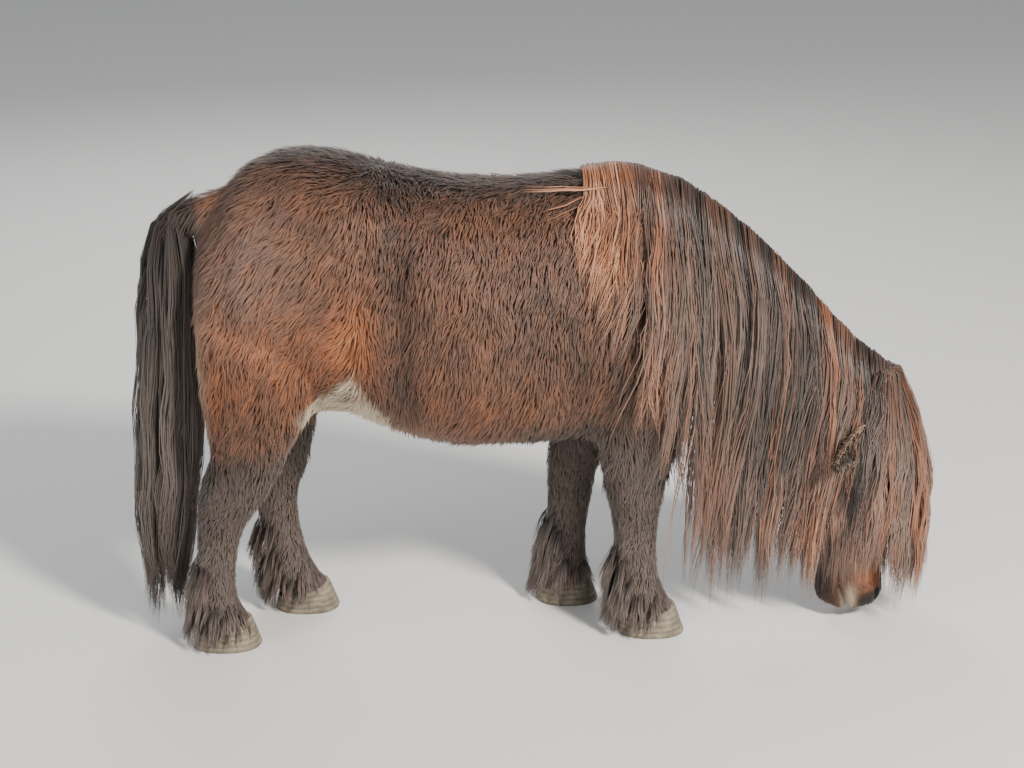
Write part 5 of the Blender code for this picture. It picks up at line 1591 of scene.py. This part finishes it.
class PONY_OT_eyes(bpy.types.Operator):
    """Make each eye, with its cornea, and its two lids, the upper one with lashes"""

    bl_idname = "pony.eyes"
    bl_label = "Eyes and lids"

    def execute(self, context):
        rng = np.random.default_rng(SEED + 5)
        eye_material = wet_brown_eye()
        for side, where in ((-1, "right"), (1, "left")):
            centre = np.array([EYE_PLACE[0], HEAD_MIDDLE + side * EYE_PLACE[1], EYE_PLACE[2]])
            out = unit(np.array([0.42, side * 0.90, 0.05]))
            along = np.array([0.38, 0, 0.92])
            along = unit(along - out * (along @ out))
            up = np.cross(out, along) * side
            self.eyeball(where, centre, out, along, up, eye_material)
            self.lids(where, centre, out, along, up, rng)
        return {"FINISHED"}

    def eyeball(self, where, centre, out, along, up, material):
        """A sphere whose front tenth bulges as the cornea. The iris field is the distance from the
        pupil's level slot."""
        down = np.linspace(0, math.pi, 41)[1:-1, None]
        turn = np.linspace(0, math.tau, 49)[None, :-1]
        radius = EYE_RADIUS * (0.985 + 0.045 * np.exp(-((down / 0.45) ** 2)))
        side_part = radius * np.sin(down)
        points = (
            centre
            + out * (radius * np.cos(down) + 0 * turn)[..., None]
            + along * (side_part * np.cos(turn))[..., None]
            + up * (side_part * np.sin(turn))[..., None]
        )
        mesh = new_mesh("eyeball_" + where, points, tube_faces(*points.shape[:2]))
        long, high = np.sin(down) * np.cos(turn), np.sin(down) * np.sin(turn)
        ring = 0.25 * (np.hypot(long, high) > 0.78)
        iris = np.minimum(np.hypot(long * 0.62, high * 1.35) * 1.1 + ring, 1)
        set_fields(mesh, {"iris": np.where(down > 1.4, 1.0, iris)})
        eye = add_piece("eyeball_" + where, mesh, material)
        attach(eye, "root")
        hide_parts("eye_" + where)

    def lids(self, where, centre, out, along, up, rng):
        """The two lids, bare at the edge and covered with short hair further out."""
        for upper in (True, False):
            local = lid_points(upper)
            points = (
                centre + along * local[..., 0, None] + out * local[..., 1, None] + up * local[..., 2, None]
            )
            rows, columns = points.shape[:2]
            name = f"{'upper' if upper else 'lower'}_lid_{where}"
            mesh = new_mesh(name, points, ring_quads(rows, columns, closed=False))
            spread = np.repeat(np.linspace(0, 1, rows), columns)
            set_fields(mesh, {"warm": 0.14 + 0.30 * spread, "cream": 0 * spread, "grey": 0.2 + 0 * spread,
                              "tone": 0 * spread, "along": 0.3 + 0.3 * spread,
                              "bare": step(0.5, 0.1, spread)})
            lid = add_piece(name, mesh, bpy.data.materials["skin_under_coat"])
            wall = lid.modifiers.new("Solidify", "SOLIDIFY")
            wall.thickness = LID_WALL
            wall.offset = 1.0
            applied(lid)
            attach(lid, "root")
            if upper:
                self.lashes(where, points[0], out, up, rng)

    def lashes(self, where, edge, out, up, rng):
        """Lashes from the edge of the upper lid, out and slightly up, then drooping."""
        own = rng.integers(3, len(edge) - 3, LASHES)
        roots = edge[own] + rng.normal(0, 0.0005, (LASHES, 3))
        length = rng.uniform(0.008, 0.015, (LASHES, 1))
        bend = roots + (out * 0.55 + up * 0.12) * length
        tips = roots + (out * 0.80 - up * 0.25) * length + rng.normal(0, 0.0012, (LASHES, 3))
        width = np.full((LASHES, 1), 0.0008) * np.array([0, 1, 0])
        paths = np.stack([roots - out * 0.0008, bend, tips], 1)
        uv = fitted_uv(np.stack([own, rng.uniform(0, 1, LASHES)], 1))
        none = np.zeros(LASHES)
        piece = hair_piece(
            "lashes_" + where, paths, width, width * 0.5, np.tile(up, (LASHES, 3, 1)),
            {"warm": none + 0.05, "cream": none, "grey": none, "tone": none},
            uv, bpy.data.materials["coarse_mane_hair"],
        )


class PONY_OT_hooves(bpy.types.Operator):
    """Make the four hooves: sloping walls with growth rings, a rounded toe and a cleft heel"""

    bl_idname = "pony.hooves"
    bl_label = "Hooves"

    def execute(self, context):
        material = dusty_hoof_horn()
        for name, spec in HOOVES.items():
            front_x, front_z, back_x, back_z, top_half, toe, heel, sole_half, y = spec
            t = np.linspace(0, 1, HOOF_ROWS)
            rows = np.stack(
                [
                    front_x + (toe - front_x) * t**0.92,
                    front_z * (1 - t),
                    back_x + (heel - back_x) * t,
                    back_z * (1 - t),
                    top_half + (sole_half - top_half) * t**0.8,
                    np.full(HOOF_ROWS, y), -0.05 * t, np.full(HOOF_ROWS, 2.3),
                ],
                axis=1,
            )
            rings = loft_points(rows, HOOF_AROUND)
            turn = np.arange(HOOF_AROUND) / HOOF_AROUND * math.tau
            middle = rings.mean(axis=1, keepdims=True)
            grooves = 1 - 0.012 * (0.5 + 0.5 * np.cos(t * math.tau * 6.5))[:, None] * (np.sin(turn) > -0.7)
            heel_line = np.exp(-(((turn - 1.5 * math.pi) / 0.16) ** 2))[None]
            cleft = 1 - 0.10 * heel_line * (1 - 0.3 * t[:, None])
            rings = middle + (rings - middle) * (grooves * cleft)[..., None]
            rings[-1, :, 2] = 0.0
            sole = rings[-1].mean(axis=0) + (rings[-1] - rings[-1].mean(axis=0)) * 0.86
            sole[:, 2] = 0.0
            # The ring over the sole stands just off the floor, which rounds the wall's edge
            rings[-2] = rings[-2] * (1, 1, 0) + (0, 0, 0.0012)
            points = np.concatenate([rings, sole[None]])
            mesh = new_mesh("wall_" + name, points, tube_faces(len(points), HOOF_AROUND))
            hoof = add_piece("wall_" + name, mesh, material)
            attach(hoof, "root")
            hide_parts(name)
        return {"FINISHED"}


# Stage

FLOOR_HALF = 16.0
# Name, place, width, power and colour of each lamp, all aimed at the middle of the body
LAMPS = (
    ("key", (2.3, -3.2, 3.4), 0.8, 440.0, (1.0, 0.955, 0.90)),
    ("fill", (-3.4, -2.2, 2.2), 3.0, 62.0, (0.90, 0.95, 1.0)),
    ("back", (-0.6, 3.2, 3.0), 2.6, 75.0, (0.97, 0.98, 1.0)),
)
LAMP_AIM = (0.0, 0.0, 0.4)
WORLD_COLOUR, WORLD_STRENGTH = (0.86, 0.90, 0.95, 1), 0.48
CAMERA_PLACE, CAMERA_TILT, CAMERA_TURN = (-0.2267, -2.6445, 1.4046), 69.9, -4.2
LENS, SENSOR = 58.887, 36.0


class PONY_OT_stage(bpy.types.Operator):
    """Set the floor, the soft lights and the camera at the viewing angle of the photograph"""

    bl_idname = "pony.stage"
    bl_label = "Stage"

    def execute(self, context):
        scene = context.scene
        ends = [-FLOOR_HALF, FLOOR_HALF]
        corners = np.stack(np.meshgrid(ends, ends, [0.0], indexing="ij"), -1).reshape(-1, 3) - SHIFT
        floor = add_piece("floor", new_mesh("floor", corners, [[0, 2, 3, 1]], False), pale_studio_floor())
        if floor.data.polygons[0].normal.z < 0:
            floor.data.flip_normals()
        for name, place, width, power, colour in LAMPS:
            data = bpy.data.lights.new(name, "AREA")
            data.shape, data.size, data.energy, data.color = "DISK", width, power, colour
            lamp = bpy.data.objects.new(name, data)
            scene.collection.objects.link(lamp)
            lamp.location = place
            away = np.array(place) - LAMP_AIM
            lamp.rotation_euler = Euler(
                (math.atan2(math.hypot(away[0], away[1]), away[2]), 0, math.atan2(away[0], -away[1]))
            )
        world = bpy.data.worlds.new("studio")
        world.use_nodes = True
        sky = world.node_tree.nodes["Background"]
        sky.inputs["Color"].default_value = WORLD_COLOUR
        sky.inputs["Strength"].default_value = WORLD_STRENGTH
        scene.world = world
        data = bpy.data.cameras.new("camera")
        data.lens, data.sensor_width = LENS, SENSOR
        camera = bpy.data.objects.new("camera", data)
        scene.collection.objects.link(camera)
        camera.location = CAMERA_PLACE
        camera.rotation_euler = Euler((math.radians(CAMERA_TILT), 0, math.radians(CAMERA_TURN)))
        scene.camera = camera
        return {"FINISHED"}


class PONY_PT_tools(bpy.types.Panel):
    """Sizes, colours and the steps that make the pony"""

    bl_label = "Pony"
    bl_idname = "PONY_PT_tools"
    bl_space_type = "VIEW_3D"
    bl_region_type = "UI"
    bl_category = "Pony"

    def draw(self, context):
        for group in (context.scene.pony_coat, context.scene.pony_hair, context.scene.pony_colours):
            for name in group.__annotations__:
                self.layout.prop(group, name)
        for step_class in STEPS:
            self.layout.operator(step_class.bl_idname)


GROUPS = (PonyCoatSizes, PonyHairSizes, PonyColours)
STEPS = (PONY_OT_skin, PONY_OT_coat, PONY_OT_mane, PONY_OT_forelock, PONY_OT_tail, PONY_OT_feather,
         PONY_OT_ears, PONY_OT_eyes, PONY_OT_hooves, PONY_OT_stage)


def register():
    """Adds the settings, the steps and the panel to Blender."""
    for entry in (*GROUPS, *STEPS, PONY_PT_tools):
        bpy.utils.register_class(entry)
    bpy.types.Scene.pony_coat = bpy.props.PointerProperty(type=PonyCoatSizes)
    bpy.types.Scene.pony_hair = bpy.props.PointerProperty(type=PonyHairSizes)
    bpy.types.Scene.pony_colours = bpy.props.PointerProperty(type=PonyColours)


def unregister():
    """Takes them out again."""
    del bpy.types.Scene.pony_coat, bpy.types.Scene.pony_hair, bpy.types.Scene.pony_colours
    for entry in reversed((*GROUPS, *STEPS, PONY_PT_tools)):
        bpy.utils.unregister_class(entry)


def main():
    """Makes the pony step by step."""
    register()
    bpy.ops.pony.skin()
    bpy.ops.pony.coat()
    bpy.ops.pony.mane()
    bpy.ops.pony.forelock()
    bpy.ops.pony.tail()
    bpy.ops.pony.feather()
    bpy.ops.pony.ears()
    bpy.ops.pony.eyes()
    bpy.ops.pony.hooves()
    bpy.ops.pony.stage()


if __name__ == "__main__":
    main()
